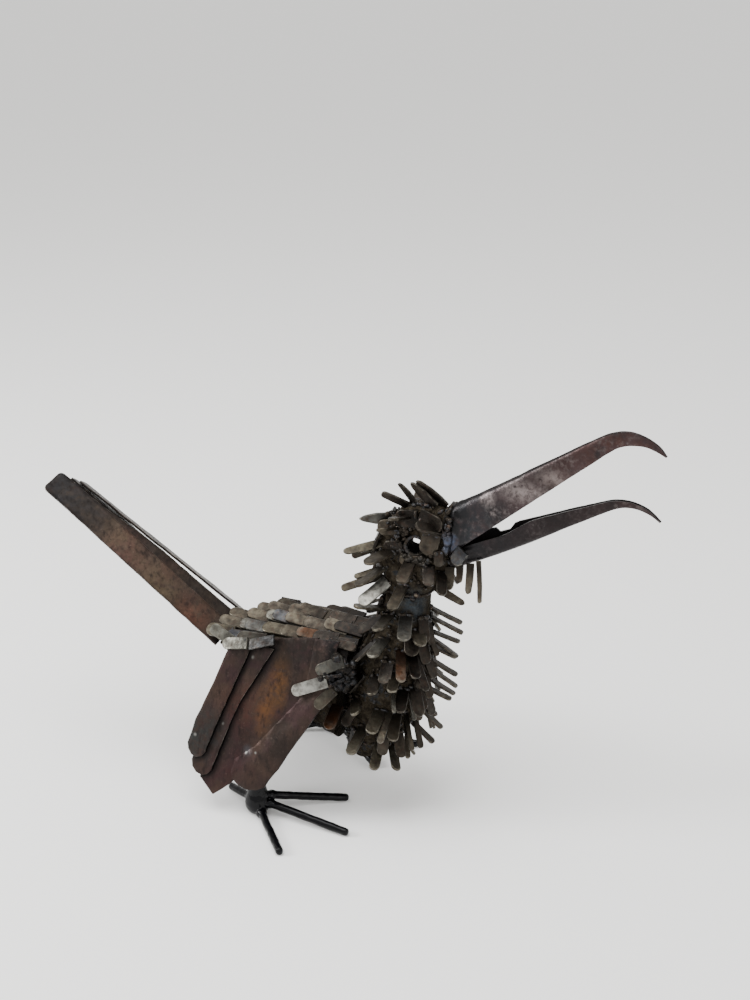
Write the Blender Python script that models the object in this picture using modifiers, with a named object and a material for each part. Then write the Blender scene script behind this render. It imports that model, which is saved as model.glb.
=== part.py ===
"""Hornbill sculpture, welded from scrap steel.

The bird stands on two splayed feet of black round bar. Long strips of sheet make
its tail and wings, two folded and curved sheets make its open beak, and short
round-ended offcuts of flat bar cover its back, breast and head like feathers.

Sizes are in millimetres and are turned to metres where a mesh or curve is made.
X runs from tail to beak, +Y is the bird's left, and Z is up from the ground.
"""
import math
import random

import bmesh
import bpy
from mathutils import Matrix, Vector
from mathutils.bvhtree import BVHTree

MM = 0.001
CLEARANCE = 0.35          # gap left between two pieces that are welded together
WELD = 0.02               # points nearer than this are made one after a cut
SHEET = 2.0               # sheet of the wings and the tail

# feet and legs
BALL_SPREAD = 75.0        # from the middle plane to each ball
TOE_BAR = 6.4             # quarter-inch round bar
# toe: azimuth from straight ahead (outwards is positive), reach, and height of its root
TOES = {
    "inner": (-35.0, 80.0, 16.0),
    "middle": (2.0, 88.0, 12.0),
    "outer": (47.0, 71.0, 5.0),
    "hind": (-152.0, 44.0, 9.0),
}
TOE_ROUNDING = 2.2
BAR_SIDES = 8
LEG_BAR = 11.0
# half profile of a foot's ball: half width and height, from the ground up
BALL_PROFILE = (
    (0.0, 0.0),
    (5.2, 0.0),
    (8.6, 2.2),
    (10.6, 6.0),
    (11.0, 10.5),
    (10.2, 15.0),
    (8.4, 19.5),
    (7.0, 25.0),
    (6.6, 29.0),
    (0.0, 29.0),
)
BALL_SIDES = 12

# tail: four straight strips in two pairs that lean together like a roof
TAIL_SLOPE = math.radians(34.2)
TAIL_ROOF = math.radians(33.0)
TAIL_WIDTH = 23.5
TAIL_BASE = Vector((-65.0, 0.0, 124.2))

# wings: a plane that leans outwards, with its strips laid on it from the back
WING_LEAN = math.radians(21.0)
WING_TOP = Vector((0.0, -39.0, 152.0))
WING_STEP = SHEET + CLEARANCE

# beak: a straight taper that ends in an arc turned down
BEAK_ARC_RADIUS = 35.5
BEAK_WALL = 1.8

# feathers of flat bar
FEATHER_WIDTH = 9.6
FEATHER_THICK = 2.5
FEATHER_ROOT = 2.5        # how far a feather's root goes into the shell
SEED = 64

# feathers set by hand on the bird's right side, and mirrored on its left: height, place round
# the shell (0 is the front, -90 the right side), heading, drop, length and width
BREAST_SIDE_FEATHERS = (
    (188, -128, -133, -13, 30, 8.0),
    (184, -110, -90, 5, 28, 11.0),
    (186, -70, -71, 20, 28, 11.5),
    (164, -100, -90, 8, 28, 11.0),
    (156, -64, -67, 26, 30, 10.0),
    (152, -44, -59, 19, 28, 9.0),
    (138, -64, -76, 12, 26, 9.0),
    (132, -94, -73, 5, 26, 9.0),
    (122, -50, -74, 16, 26, 10.0),
    (106, -118, -66, -3, 28, 9.0),
    (102, -76, -83, 19, 28, 11.0),
    (98, -52, -74, 26, 28, 10.0),
    (86, -28, -64, 27, 36, 4.0),
    (82, -94, -90, 21, 32, 10.0),
    (70, -60, -78, 26, 32, 9.0),
    (54, -18, -62, 19, 30, 7.5),
)
# the row down the middle of the breast, which stands out as its front outline
BREAST_FRONT_FEATHERS = (
    (186, 16, 12, 27, 29, 5.0),
    (177, 16, 12, 24, 30, 5.0),
    (164, 14, 15, 22, 26, 5.0),
    (157, 14, 12, 31, 28, 5.0),
    (150, 14, 14, 26, 24, 6.0),
    (136, 14, 10, 34, 26, 6.0),
    (126, 14, 12, 31, 27, 5.0),
    (116, 14, 11, 34, 24, 6.0),
    (108, 12, 12, 29, 22, 6.0),
    (98, 8, -7, 52, 18, 5.0),
    (89, 8, 1, 45, 26, 6.0),
    (76, 2, 2, 43, 27, 6.0),
)
HEAD_SIDE_FEATHERS = (
    (271, -112, -102, -15, 24, 10.0),
    (264, -48, -125, -22, 26, 10.0),
    (259, -122, -98, -17, 24, 11.0),
    (239, -120, -125, 15, 26, 11.0),
    (252, -30, -124, -8, 23, 11.0),
    (222, -136, -125, 24, 28, 10.0),
    (222, -104, -85, 24, 28, 10.0),
    (224, -70, -69, 22, 26, 10.0),
    (226, -34, -66, 30, 22, 9.0),
    (210, -120, -112, 22, 28, 10.0),
    (209, -88, -85, 30, 26, 10.0),
    (210, -54, -62, 28, 26, 10.0),
)
# feathers that stand free, each a piece of its own: root, heading, drop, length, width, bend
CREST = (
    ((109.0, -3.0, 278.5), -167, -25, 24, 6.0, 0.0),
    ((114.0, -1.0, 280.5), 173, -52, 21, 5.0, 0.5),
    ((133.0, -4.0, 281.5), -176, -40, 28, 8.5, 0.2),
    ((140.5, 1.0, 281.0), -177, -40, 32, 8.5, 0.3),
    ((98.0, -3.0, 265.0), -157, -2, 30, 10.0, 0.0),
)
NAPE = (
    ((88.0, -3.0, 242.0), -150, 13, 35, 7.0, 0.0),
    ((87.0, 4.0, 238.0), -149, 20, 31, 6.0, 0.0),
    ((88.0, -2.0, 219.0), -150, 17, 27, 5.0, 0.0),
    ((88.0, -5.0, 213.0), -148, 15, 37, 7.0, 0.0),
    ((95.0, -12.0, 212.0), -125, 28, 31, 10.0, 0.0),
)
BEARD = (
    ((155.0, -10.5, 250.0), -66, 58, 17, 9.0, 0.0),
    ((165.0, -5.0, 238.0), -71, 66, 25, 7.0, 0.0),
    ((171.5, -4.0, 241.0), -54, 67, 34, 4.0, 0.0),
    ((156.0, -5.0, 235.0), -71, 67, 15, 6.0, 0.0),
    ((147.0, -4.0, 231.0), -71, 66, 19, 8.0, 0.0),
    ((130.0, 3.0, 208.0), 11, 30, 30, 7.0, 0.0),
)
# the ones on a shoulder lie over the front of the wing: root, heading, drop, length, width
SHOULDER = (
    ((58.0, -53.5, 130.0), -169, 24, 34, 10.5),
    ((70.0, -46.0, 148.0), -166, 27, 27, 10.5),
)

# ---------------------------------------------------------------- scene and materials
def clear_scene():
    """Remove whatever the scene holds."""
    for item in list(bpy.data.objects):
        bpy.data.objects.remove(item, do_unlink=True)


def new_collection(name):
    """Make a collection under the scene's own."""
    collection = bpy.data.collections.new(name)
    bpy.context.scene.collection.children.link(collection)
    return collection


def make_material(name, colour, roughness, metallic):
    """Make a Principled material with one colour, roughness and metallic value."""
    material = bpy.data.materials.new(name)
    material.use_nodes = True
    shader = material.node_tree.nodes["Principled BSDF"]
    shader.inputs["Base Color"].default_value = (*colour, 1.0)
    shader.inputs["Roughness"].default_value = roughness
    shader.inputs["Metallic"].default_value = metallic
    return material


clear_scene()
PARTS = new_collection("hornbill_sculpture")
CUTTERS = new_collection("cutters")
SHEET_STEEL = make_material("rusted_sheet_steel", (0.075, 0.045, 0.038), 0.55, 0.7)
BEAK_STEEL = make_material("burnished_beak_steel", (0.070, 0.048, 0.048), 0.40, 0.8)
FEATHER_STEEL = make_material("feather_steel", (0.14, 0.12, 0.085), 0.50, 0.8)
PAINTED_BAR = make_material("black_painted_bar", (0.010, 0.010, 0.012), 0.25, 0.0)


def add_object(name, mesh, material, collection=PARTS):
    """Link a mesh as a named object with its material."""
    item = bpy.data.objects.new(name, mesh)
    collection.objects.link(item)
    mesh.materials.clear()
    mesh.materials.append(material)
    if collection is CUTTERS:
        item.hide_render = True
        item.display_type = "WIRE"
    return item


def mesh_from(shape, name):
    """Turn a bmesh in millimetres into a mesh in metres, with its faces outwards."""
    bmesh.ops.recalc_face_normals(shape, faces=shape.faces)
    bmesh.ops.scale(shape, vec=(MM, MM, MM), verts=shape.verts)
    mesh = bpy.data.meshes.new(name)
    shape.to_mesh(mesh)
    shape.free()
    return mesh


# ---------------------------------------------------------------- shapes
def loft(rings):
    """Skin a row of rings that have the same number of points, with both ends closed."""
    shape = bmesh.new()
    loops = [[shape.verts.new(point) for point in ring] for ring in rings]
    count = len(loops[0])
    for lower, upper in zip(loops, loops[1:]):
        for i in range(count):
            j = (i + 1) % count
            shape.faces.new((lower[i], lower[j], upper[j], upper[i]))
    shape.faces.new(loops[0])
    shape.faces.new(loops[-1])
    return shape


def between(stations, position):
    """Read a row of (position, values...) stations at a position, with straight runs between."""
    for low, high in zip(stations, stations[1:]):
        if position <= high[0] or high is stations[-1]:
            share = (position - low[0]) / (high[0] - low[0])
            return [a + (b - a) * share for a, b in zip(low[1:], high[1:])]


def rounded(angle, power):
    """Unit superellipse point at an angle: power 2 is round, and higher is squarer."""
    c, s = math.cos(angle), math.sin(angle)
    grow = (abs(c) ** power + abs(s) ** power) ** (-1.0 / power)
    return c * grow, s * grow


def evaluated_mesh(item):
    """Read an object with its modifiers as a mesh of its own."""
    graph = bpy.context.evaluated_depsgraph_get()
    return bpy.data.meshes.new_from_object(item.evaluated_get(graph))


def islands(shape):
    """Sort a bmesh's vertices into the separate bodies that they belong to."""
    waiting = set(shape.verts)
    found = []
    while waiting:
        body, edge = set(), [waiting.pop()]
        while edge:
            vertex = edge.pop()
            body.add(vertex)
            near = {link.other_vert(vertex) for link in vertex.link_edges} & waiting
            waiting -= near
            edge += near
        found.append(body)
    return found


def boolean(item, cutter, operation):
    """Apply one exact Boolean, weld what it leaves, and keep the largest body."""
    modifier = item.modifiers.new("boolean", "BOOLEAN")
    modifier.operation = operation
    modifier.solver = "EXACT"
    modifier.use_self = True
    modifier.object = cutter
    mesh = evaluated_mesh(item)
    item.modifiers.clear()
    shape = bmesh.new()
    shape.from_mesh(mesh)
    bmesh.ops.remove_doubles(shape, verts=shape.verts, dist=WELD * MM)
    bmesh.ops.dissolve_degenerate(shape, edges=shape.edges, dist=WELD * MM)
    bodies = sorted(islands(shape), key=len)
    scrap = [vertex for body in bodies[:-1] for vertex in body]
    bmesh.ops.delete(shape, geom=scrap, context="VERTS")
    shape.to_mesh(mesh)
    shape.free()
    material = item.data.materials[0]
    item.data = mesh
    mesh.materials.clear()
    mesh.materials.append(material)
    bpy.data.objects.remove(cutter, do_unlink=True)


def skin_tree(item):
    """Search tree of an object's faces."""
    return BVHTree.FromPolygons(
        [vertex.co for vertex in item.data.vertices], [face.vertices for face in item.data.polygons]
    )


def trim(item, neighbour):
    """Cut a piece back from a neighbour's solid, so that the weld's clearance stays open."""
    shape = bmesh.new()
    shape.from_mesh(neighbour.data)
    shape.normal_update()
    moves = [vertex.normal * CLEARANCE * MM * min(2.0, vertex.calc_shell_factor()) for vertex in shape.verts]
    for vertex, move in zip(shape.verts, moves):
        vertex.co += move
    mesh = bpy.data.meshes.new("grown_" + neighbour.name)
    shape.to_mesh(mesh)
    shape.free()
    cutter = add_object("cutter_" + item.name, mesh, item.data.materials[0], CUTTERS)
    if skin_tree(item).overlap(skin_tree(cutter)):
        boolean(item, cutter, "DIFFERENCE")
    else:
        bpy.data.objects.remove(cutter, do_unlink=True)


# ---------------------------------------------------------------- body shells
# torso stations along X: top, widest height, bottom, half width
TORSO = (
    (-58.0, 142.0, 135.0, 121.0, 26.0),
    (-38.0, 144.0, 136.0, 104.0, 34.0),
    (-12.0, 147.5, 138.0, 84.0, 38.0),
    (14.0, 149.0, 138.0, 66.0, 38.5),
    (38.0, 150.0, 138.0, 56.0, 38.5),
    (58.0, 149.0, 137.0, 47.0, 37.5),
)
RUMP_SHEAR = math.tan(TAIL_SLOPE)   # the rump is cut square to the tail
BREAST_SHEAR = 0.185                # the chest is cut on a slight slant
SHEAR_HEIGHT = 100.0
TORSO_SIDES = 16


def torso_shear(x):
    """How far a torso section leans forward for each millimetre of height."""
    share = min(1.0, max(0.0, (x - TORSO[0][0]) / 60.0))
    return RUMP_SHEAR + (BREAST_SHEAR - RUMP_SHEAR) * share


def torso_point(x, angle):
    """Point of the torso's skin: angle 0 is the bird's left side, and 90 degrees is the back."""
    top, middle, bottom, half = between(TORSO, x)
    side, rise = rounded(angle, 3.2 if math.sin(angle) > 0 else 2.3)
    z = middle + rise * ((top - middle) if rise > 0 else (middle - bottom))
    if x <= TORSO[0][0]:
        lean_from = middle
    else:
        lean_from = SHEAR_HEIGHT + (middle - SHEAR_HEIGHT) * max(0.0, 1 - (x - TORSO[0][0]) / 60.0)
    return Vector((x + torso_shear(x) * (z - lean_from), half * side, z))


def torso_shell():
    """Loft the torso from the rump to the chest."""
    angles = [2 * math.pi * i / TORSO_SIDES for i in range(TORSO_SIDES)]
    rings = [[torso_point(station[0], angle) for angle in angles] for station in TORSO]
    return loft(rings)


# breast stations down Z: middle X, half length, half width
BREAST = (
    (36.0, 70.0, 10.0, 12.0),
    (50.0, 76.0, 21.0, 25.0),
    (70.0, 82.0, 27.5, 32.0),
    (92.0, 88.0, 33.0, 36.0),
    (116.0, 93.0, 35.0, 36.0),
    (140.0, 97.0, 31.0, 32.0),
    (160.0, 101.0, 27.0, 26.0),
    (176.0, 105.0, 23.0, 21.0),
    (190.0, 108.0, 20.0, 18.0),
    (203.0, 109.0, 19.5, 17.0),
)
BREAST_SIDES = 16


def chest_plane(z):
    """X of the slanting joint between torso and breast at a height."""
    return TORSO[-1][0] + BREAST_SHEAR * (z - SHEAR_HEIGHT)


def breast_point(z, angle):
    """Point of the breast's skin: angle 0 is the front, and -90 degrees is the bird's right."""
    middle, length, width = between(BREAST, z)
    fore, side = rounded(angle, 2.2)
    x = max(middle + length * fore, chest_plane(z) + CLEARANCE)
    return Vector((x, width * side, z))


def breast_shell():
    """Loft the breast and neck from the belly to the throat."""
    angles = [2 * math.pi * i / BREAST_SIDES for i in range(BREAST_SIDES)]
    rings = [[breast_point(station[0], angle) for angle in angles] for station in BREAST]
    return loft(rings)


# head stations up Z: middle X, half length, half width
HEAD = (
    (203.4, 109.5, 19.5, 16.5),
    (214.0, 111.5, 25.0, 15.0),
    (225.0, 113.0, 31.0, 13.0),
    (237.0, 114.5, 34.0, 11.0),
    (250.0, 116.0, 33.0, 10.3),
    (261.0, 118.0, 31.0, 10.3),
    (271.0, 121.0, 26.0, 9.6),
    (279.0, 126.0, 18.0, 7.5),
    (283.0, 129.0, 9.0, 4.0),
)
HEAD_SIDES = 18
FACE_PLANE = 147.0                  # the flat front that carries the beak
EYE = Vector((115.6, 0.0, 247.3))
EYE_RADIUS = 6.8
EYE_AXIS = Vector((-0.30, 0.95, 0.0))


def head_point(z, angle):
    """Point of the head's skin: angle 0 is the front, and -90 degrees is the bird's right."""
    middle, length, width = between(HEAD, z)
    fore, side = rounded(angle, 2.6)
    return Vector((min(middle + length * fore, FACE_PLANE), width * side, z))


def head_shell():
    """Loft the head from the throat to the crown."""
    angles = [2 * math.pi * i / HEAD_SIDES for i in range(HEAD_SIDES)]
    rings = [[head_point(station[0], angle) for angle in angles] for station in HEAD]
    return loft(rings)


def eye_cutter():
    """Make the round bar that bores the eye through the head."""
    shape = bmesh.new()
    bmesh.ops.create_cone(
        shape, cap_ends=True, segments=16, radius1=EYE_RADIUS, radius2=EYE_RADIUS, depth=60.0
    )
    turn = Vector((0, 0, 1)).rotation_difference(EYE_AXIS).to_matrix().to_4x4()
    bmesh.ops.transform(shape, matrix=Matrix.Translation(EYE) @ turn, verts=shape.verts)
    return add_object("cutter_eye", mesh_from(shape, "eye"), FEATHER_STEEL, CUTTERS)


# ---------------------------------------------------------------- feathers of flat bar
class Feather:
    """One strip: where its root is, which way it runs and faces, and its size."""

    def __init__(self, root, along, face, length, width=FEATHER_WIDTH, bend=0.0):
        self.root = Vector(root)
        self.along = along.normalized()
        self.face = (face - self.along * face.dot(self.along)).normalized()
        self.length = length
        self.width = width
        self.bend = bend

    def mirrored(self):
        """The same strip on the bird's other side."""
        flip = Vector((1.0, -1.0, 1.0))
        return Feather(
            self.root * flip, self.along * flip, self.face * flip, self.length, self.width, self.bend
        )


def feather_shape(shape, feather):
    """Add one round-ended strip to a bmesh, and bend it towards its face over its length."""
    across = feather.along.cross(feather.face)
    half = feather.width / 2
    steps = 3 if feather.bend else 1
    stations = [(feather.length - 0.62 * half) * i / steps for i in range(steps + 1)] + [feather.length]
    halves = [half] * (steps + 1) + [0.52 * half]
    loops = []
    for run, wide in zip(stations, halves):
        turn = feather.bend * run / feather.length
        middle = feather.root + feather.along * run
        if feather.bend:
            radius = feather.length / feather.bend
            middle = feather.root + feather.along * math.sin(turn) * radius
            middle += feather.face * (1 - math.cos(turn)) * radius
        up = feather.face * math.cos(turn) - feather.along * math.sin(turn)
        corners = ((-1, -1), (1, -1), (1, 1), (-1, 1))
        ring = [middle + across * side * wide + up * lift * FEATHER_THICK / 2 for side, lift in corners]
        loops.append([shape.verts.new(point) for point in ring])
    for lower, upper in zip(loops, loops[1:]):
        for i in range(4):
            j = (i + 1) % 4
            shape.faces.new((lower[i], lower[j], upper[j], upper[i]))
    shape.faces.new(tuple(reversed(loops[0])))
    shape.faces.new(loops[-1])


def heading(azimuth, drop):
    """Direction at an azimuth from the beak, dropped below the level by an angle (degrees)."""
    a, d = math.radians(azimuth), math.radians(drop)
    return Vector((math.cos(a) * math.cos(d), math.sin(a) * math.cos(d), -math.sin(d)))


def on_shell(skin, azimuth, aim, drop, length, width=FEATHER_WIDTH, roll=0.0):
    """A feather rooted in a shell, with its broad side turned up and outwards."""
    along = heading(aim, drop)
    face = heading(azimuth, -60.0)
    feather = Feather(skin - along * FEATHER_ROOT, along, face, length + FEATHER_ROOT, width)
    feather.face.rotate(Matrix.Rotation(math.radians(roll), 3, feather.along))
    return feather


def breast_feathers():
    """Rows of feathers round the breast and neck, steeper towards the belly."""
    dice = random.Random(SEED)
    feathers = []
    rows = 9
    for row in range(rows):
        z = 192.0 - 15.0 * row
        middle, length, width = between(BREAST, z)
        reach = 172.0 if z > 168.0 else 124.0
        count = max(5, round(math.radians(reach) * (length + width) / 20.5))
        for i in range(count):
            share = (i + (0.75 if row % 2 else 0.25)) / count
            azimuth = -reach + 2 * reach * share + dice.uniform(-4.0, 4.0)
            height = z + dice.uniform(-3.0, 3.0)
            drop = 26.0 + 44.0 * max(0.0, (125.0 - z) / 85.0) + dice.uniform(-9.0, 9.0)
            drop += 20.0 * abs(math.sin(math.radians(azimuth)))
            aim = azimuth * 1.22 + dice.uniform(-8.0, 8.0)
            long = dice.uniform(19.0, 27.0)
            if abs(azimuth) < 30.0:
                continue
            skin = breast_point(height, math.radians(azimuth))
            roll = dice.uniform(-26.0, 26.0)
            feathers.append(on_shell(skin, azimuth, aim, min(80.0, drop), long, roll=roll))
    for height, azimuth, aim, drop, length, width in BREAST_SIDE_FEATHERS:
        skin = breast_point(height, math.radians(azimuth))
        feather = on_shell(skin, azimuth, aim, drop, length, width)
        feathers += [feather, feather.mirrored()]
    for height, azimuth, aim, drop, length, width in BREAST_FRONT_FEATHERS:
        skin = breast_point(height, math.radians(azimuth))
        feathers.append(on_shell(skin, azimuth, aim, drop, length, width))
    return feathers


def head_feathers():
    """Feathers on both cheeks, round the eye and down the neck."""
    feathers = []
    for height, azimuth, aim, drop, length, width in HEAD_SIDE_FEATHERS:
        skin = head_point(height, math.radians(azimuth))
        feather = on_shell(skin, azimuth, aim, drop, length, width)
        feathers += [feather, feather.mirrored()]
    return feathers


def back_feathers():
    """Courses of feathers on the back, like roof scales that point to the tail."""
    dice = random.Random(SEED + 1)
    feathers = []
    courses = 8
    for course in range(courses):
        x = 60.0 - 15.6 * course
        half = between(TORSO, x)[3]
        lanes = 7 if half > 32.0 else 5
        for lane in range(lanes):
            share = 2.0 * lane / (lanes - 1) - 1.0
            place = max(x, TORSO[0][0] + 1.0) + dice.uniform(-3.0, 3.0)
            angle = math.radians(90.0 - 54.0 * share) + dice.uniform(-0.04, 0.04)
            skin = torso_point(place, angle)
            beside = torso_point(place, angle + 0.1) - skin
            behind = torso_point(place - 6.0, angle) - skin
            out = beside.cross(behind).normalized()
            along = Vector((-1.0, 0.14 * share, 0.03 - 0.08 * abs(share))) + out * 0.06
            long = dice.uniform(22.0, 28.0)
            root = skin - out * 0.4 - along.normalized()
            feathers.append(Feather(root, along, out, long))
    return feathers


def free_feathers():
    """Feathers that are pieces of their own, by name."""
    named = {}
    for group, rows in (("crest", CREST), ("nape", NAPE), ("beard", BEARD)):
        for number, (root, aim, drop, length, width, bend) in enumerate(rows, 1):
            along = heading(aim, drop)
            face = Vector((0.0, -0.8, 0.6)) if group != "crest" else Vector((-0.5, -0.8, -0.3))
            named["%s_feather_%d" % (group, number)] = Feather(root, along, face, length, width, bend)
    lean = Vector((0.0, -math.cos(WING_LEAN), math.sin(WING_LEAN)))
    for number, (root, aim, drop, length, width) in enumerate(SHOULDER, 1):
        feather = Feather(root, heading(aim, drop), lean, length, width)
        named["shoulder_right_feather_%d" % number] = feather
        named["shoulder_left_feather_%d" % number] = feather.mirrored()
    return named


def single(feather, name, material=FEATHER_STEEL, collection=PARTS):
    """Make one feather an object of its own."""
    shape = bmesh.new()
    feather_shape(shape, feather)
    return add_object(name, mesh_from(shape, name), material, collection)


def weld_feathers(shell, feathers, clear_of):
    """Fuse feathers to their shell, leaving out any that would run into another piece."""
    trees = [skin_tree(item) for item in clear_of]
    welded = bmesh.new()
    for feather in feathers:
        item = single(feather, "feather", collection=CUTTERS)
        if not any(skin_tree(item).overlap(tree) for tree in trees):
            welded.from_mesh(item.data)
        bpy.data.objects.remove(item, do_unlink=True)
    mesh = bpy.data.meshes.new("feathers_of_" + shell.name)
    welded.to_mesh(mesh)
    welded.free()
    boolean(shell, add_object("feathers_of_" + shell.name, mesh, FEATHER_STEEL, CUTTERS), "UNION")


# ---------------------------------------------------------------- sheet strips
def sheet_strip(name, outline, origin, right, up, thick=SHEET, material=SHEET_STEEL):
    """Cut a flat outline from sheet: a filled 2D curve, extruded by half its thickness."""
    curve = bpy.data.curves.new(name, "CURVE")
    curve.dimensions = "2D"
    curve.fill_mode = "BOTH"
    curve.extrude = thick / 2 * MM
    spline = curve.splines.new("POLY")
    spline.points.add(len(outline) - 1)
    for point, (x, y) in zip(spline.points, outline):
        point.co = (x * MM, y * MM, 0.0, 1.0)
    spline.use_cyclic_u = True
    item = bpy.data.objects.new(name, curve)
    PARTS.objects.link(item)
    right = right.normalized()
    normal = right.cross(up).normalized()
    frame = Matrix((right, normal.cross(right), normal)).transposed().to_4x4()
    item.matrix_world = Matrix.Translation(origin * MM) @ frame
    bpy.context.view_layer.update()
    mesh = evaluated_mesh(item)
    place = item.matrix_world.copy()
    bpy.data.objects.remove(item, do_unlink=True)
    shape = bmesh.new()
    shape.from_mesh(mesh)
    bmesh.ops.remove_doubles(shape, verts=shape.verts, dist=0.01 * MM)
    bmesh.ops.transform(shape, matrix=place, verts=shape.verts)
    bmesh.ops.recalc_face_normals(shape, faces=shape.faces)
    shape.to_mesh(mesh)
    shape.free()
    mesh.name = name
    return add_object(name, mesh, material)


def arc(centre, radius, start, end, steps):
    """Points of an arc in a plane, from one angle to another in degrees."""
    angles = [math.radians(start + (end - start) * i / steps) for i in range(steps + 1)]
    return [(centre[0] + radius * math.cos(a), centre[1] + radius * math.sin(a)) for a in angles]


def tail_feathers():
    """Two pairs of strips: the outer one laps the inner one, and they close up at the tip."""
    run = Vector((-math.cos(TAIL_SLOPE), 0.0, math.sin(TAIL_SLOPE)))
    lift = Vector((math.sin(TAIL_SLOPE), 0.0, math.cos(TAIL_SLOPE)))
    strips = []
    # length, half spread of the lower edges at the base and at the tip, lift at the base, side
    plan = (
        (198.0, 26.7, 20.7, 2.6, -1),
        (213.0, 19.5, 20.5, 2.0, -1),
        (196.0, 25.0, 21.2, 9.0, 1),
        (203.0, 21.4, 20.5, 3.4, 1),
    )
    for number, (length, start, end, lifted, side) in enumerate(plan, 1):
        slope = Vector((0.0, -side * math.cos(TAIL_ROOF), 0.0)) + lift * math.sin(TAIL_ROOF)
        normal = Vector((0.0, side * math.sin(TAIL_ROOF), 0.0)) + lift * math.cos(TAIL_ROOF)
        layer = (number % 2) * (SHEET + CLEARANCE)
        low = TAIL_BASE + Vector((0.0, side * start, 0.0)) + normal * lifted
        tip = TAIL_BASE + Vector((0.0, side * end, 0.0)) + run * length + normal * layer
        along = (tip - low).normalized()
        corner = 4.5
        outline = [(0.0, 0.0), (length - corner, 0.0)]
        outline += arc((length - corner, corner), corner, -90.0, 0.0, 4)[1:]
        outline += arc((length - corner, TAIL_WIDTH - corner), corner, 0.0, 90.0, 4)
        outline += [(0.0, TAIL_WIDTH)]
        strips.append(sheet_strip("tail_feather_%d" % number, outline, low, along, slope))
    return strips


# wing strips in the wing's own plane: layer, depth and points of the end's curve, then
# stations of (distance down from the wing's top, front edge, rear edge)
WING_STRIPS = {
    1: (2, 11.0, 6, ((9.0, -16.0, -36.0), (45.0, -27.0, -46.5), (82.0, -39.0, -59.5), (104.0, -45.0, -64.0))),
    2: (1, 12.0, 6, ((9.0, 4.0, -26.0), (33.0, -8.0, -34.0), (60.0, -21.0, -44.0), (93.0, -31.0, -54.0),
                     (118.0, -37.5, -59.0))),
    3: (0, 12.5, 2, ((9.0, 43.0, -12.0), (46.0, 38.0, -26.0), (86.0, 14.0, -40.0), (112.0, -10.0, -46.0),
                     (132.0, -20.0, -50.0))),
    4: (1, 11.0, 6, ((7.0, 62.0, 39.5), (42.0, 59.5, 37.0), (56.0, 52.0, 27.0), (95.0, 30.5, -2.0),
                     (110.0, 23.5, -19.0), (122.0, 15.5, -21.0))),
}


def strip_outline(depth, points, stations):
    """Outline of a strip: down its front edge, round its end, and up its rear edge."""
    down, front, rear = stations[-1]
    middle, half = (front + rear) / 2, (front - rear) / 2
    outline = [(ahead, below) for below, ahead, _ in stations]
    for i in range(1, points):
        turn = math.pi * i / points
        outline.append((middle + half * math.cos(turn), down + depth * math.sin(turn)))
    outline += [(behind, below) for below, _, behind in reversed(stations)]
    return outline


def wing_feathers(side_name, side):
    """Lay a wing's strips on its leaning plane, the rear ones over the front ones."""
    down = Vector((0.0, side * math.sin(WING_LEAN), -math.cos(WING_LEAN)))
    out = Vector((0.0, side * math.cos(WING_LEAN), math.sin(WING_LEAN)))
    strips = []
    for number, (layer, depth, points, stations) in WING_STRIPS.items():
        origin = Vector((0.0, side * abs(WING_TOP.y), WING_TOP.z)) + out * (layer * WING_STEP)
        name = "wing_%s_feather_%d" % (side_name, number)
        outline = strip_outline(depth, points, stations)
        strips.append(sheet_strip(name, outline, origin, Vector((1.0, 0.0, 0.0)), down))
    return strips


# ---------------------------------------------------------------- beak
def beak_line(base, rise, straight, arc_turn, steps_straight, steps_arc):
    """Stations along a beak: run from its base, middle point and heading (radians)."""
    stations = []
    for i in range(steps_straight):
        run = straight * i / steps_straight
        point = (base[0] + run * math.cos(rise), base[1] + run * math.sin(rise))
        stations.append((run, point, rise))
    start = (base[0] + straight * math.cos(rise), base[1] + straight * math.sin(rise))
    for i in range(steps_arc + 1):
        turn = arc_turn * i / steps_arc
        point = (
            start[0] + BEAK_ARC_RADIUS * (math.sin(rise) - math.sin(rise - turn)),
            start[1] + BEAK_ARC_RADIUS * (math.cos(rise - turn) - math.cos(rise)),
        )
        stations.append((straight + BEAK_ARC_RADIUS * turn, point, rise - turn))
    return stations


def beak_shell(stations, height_at, width_at, opens_up, notch=None):
    """Loft a folded sheet: a trough whose section closes to a solid point at the tip."""
    arch = 6
    rings = []
    for run, (x, z), rise in stations:
        height = height_at(run)
        half = width_at(run) / 2
        wall = min(BEAK_WALL, 0.45 * half)
        lean = rise * min(1.0, run / 30.0)
        up = Vector((-math.sin(lean), 0.0, math.cos(lean)))
        if opens_up:
            up = -up
        stretch = 1.0 + 0.28 * max(0.0, 1.0 - run / 30.0) * (not opens_up)
        ring = []
        for layer in (0, 1):
            inset = wall * layer
            line = []
            for i in range(arch + 1):
                side, crown = rounded(math.pi * i / arch, 2.6)
                tall = height * stretch
                drop = -tall / 2
                offset = drop + (tall - inset) * max(0.0, crown)
                if i in (0, arch):
                    offset = drop
                if notch and notch[0] <= run <= notch[1] and i == 0:
                    offset += notch[2]
                line.append(Vector((x, (half - inset) * side, z)) + up * offset)
            ring += line if layer == 0 else list(reversed(line))
        rings.append(ring)
    return loft(rings)


def closing(share):
    """Scale that rounds a beak's height off over the last part of its length."""
    return math.sqrt(max(0.0, min(1.0, (1 - share) / 0.16)))


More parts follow.
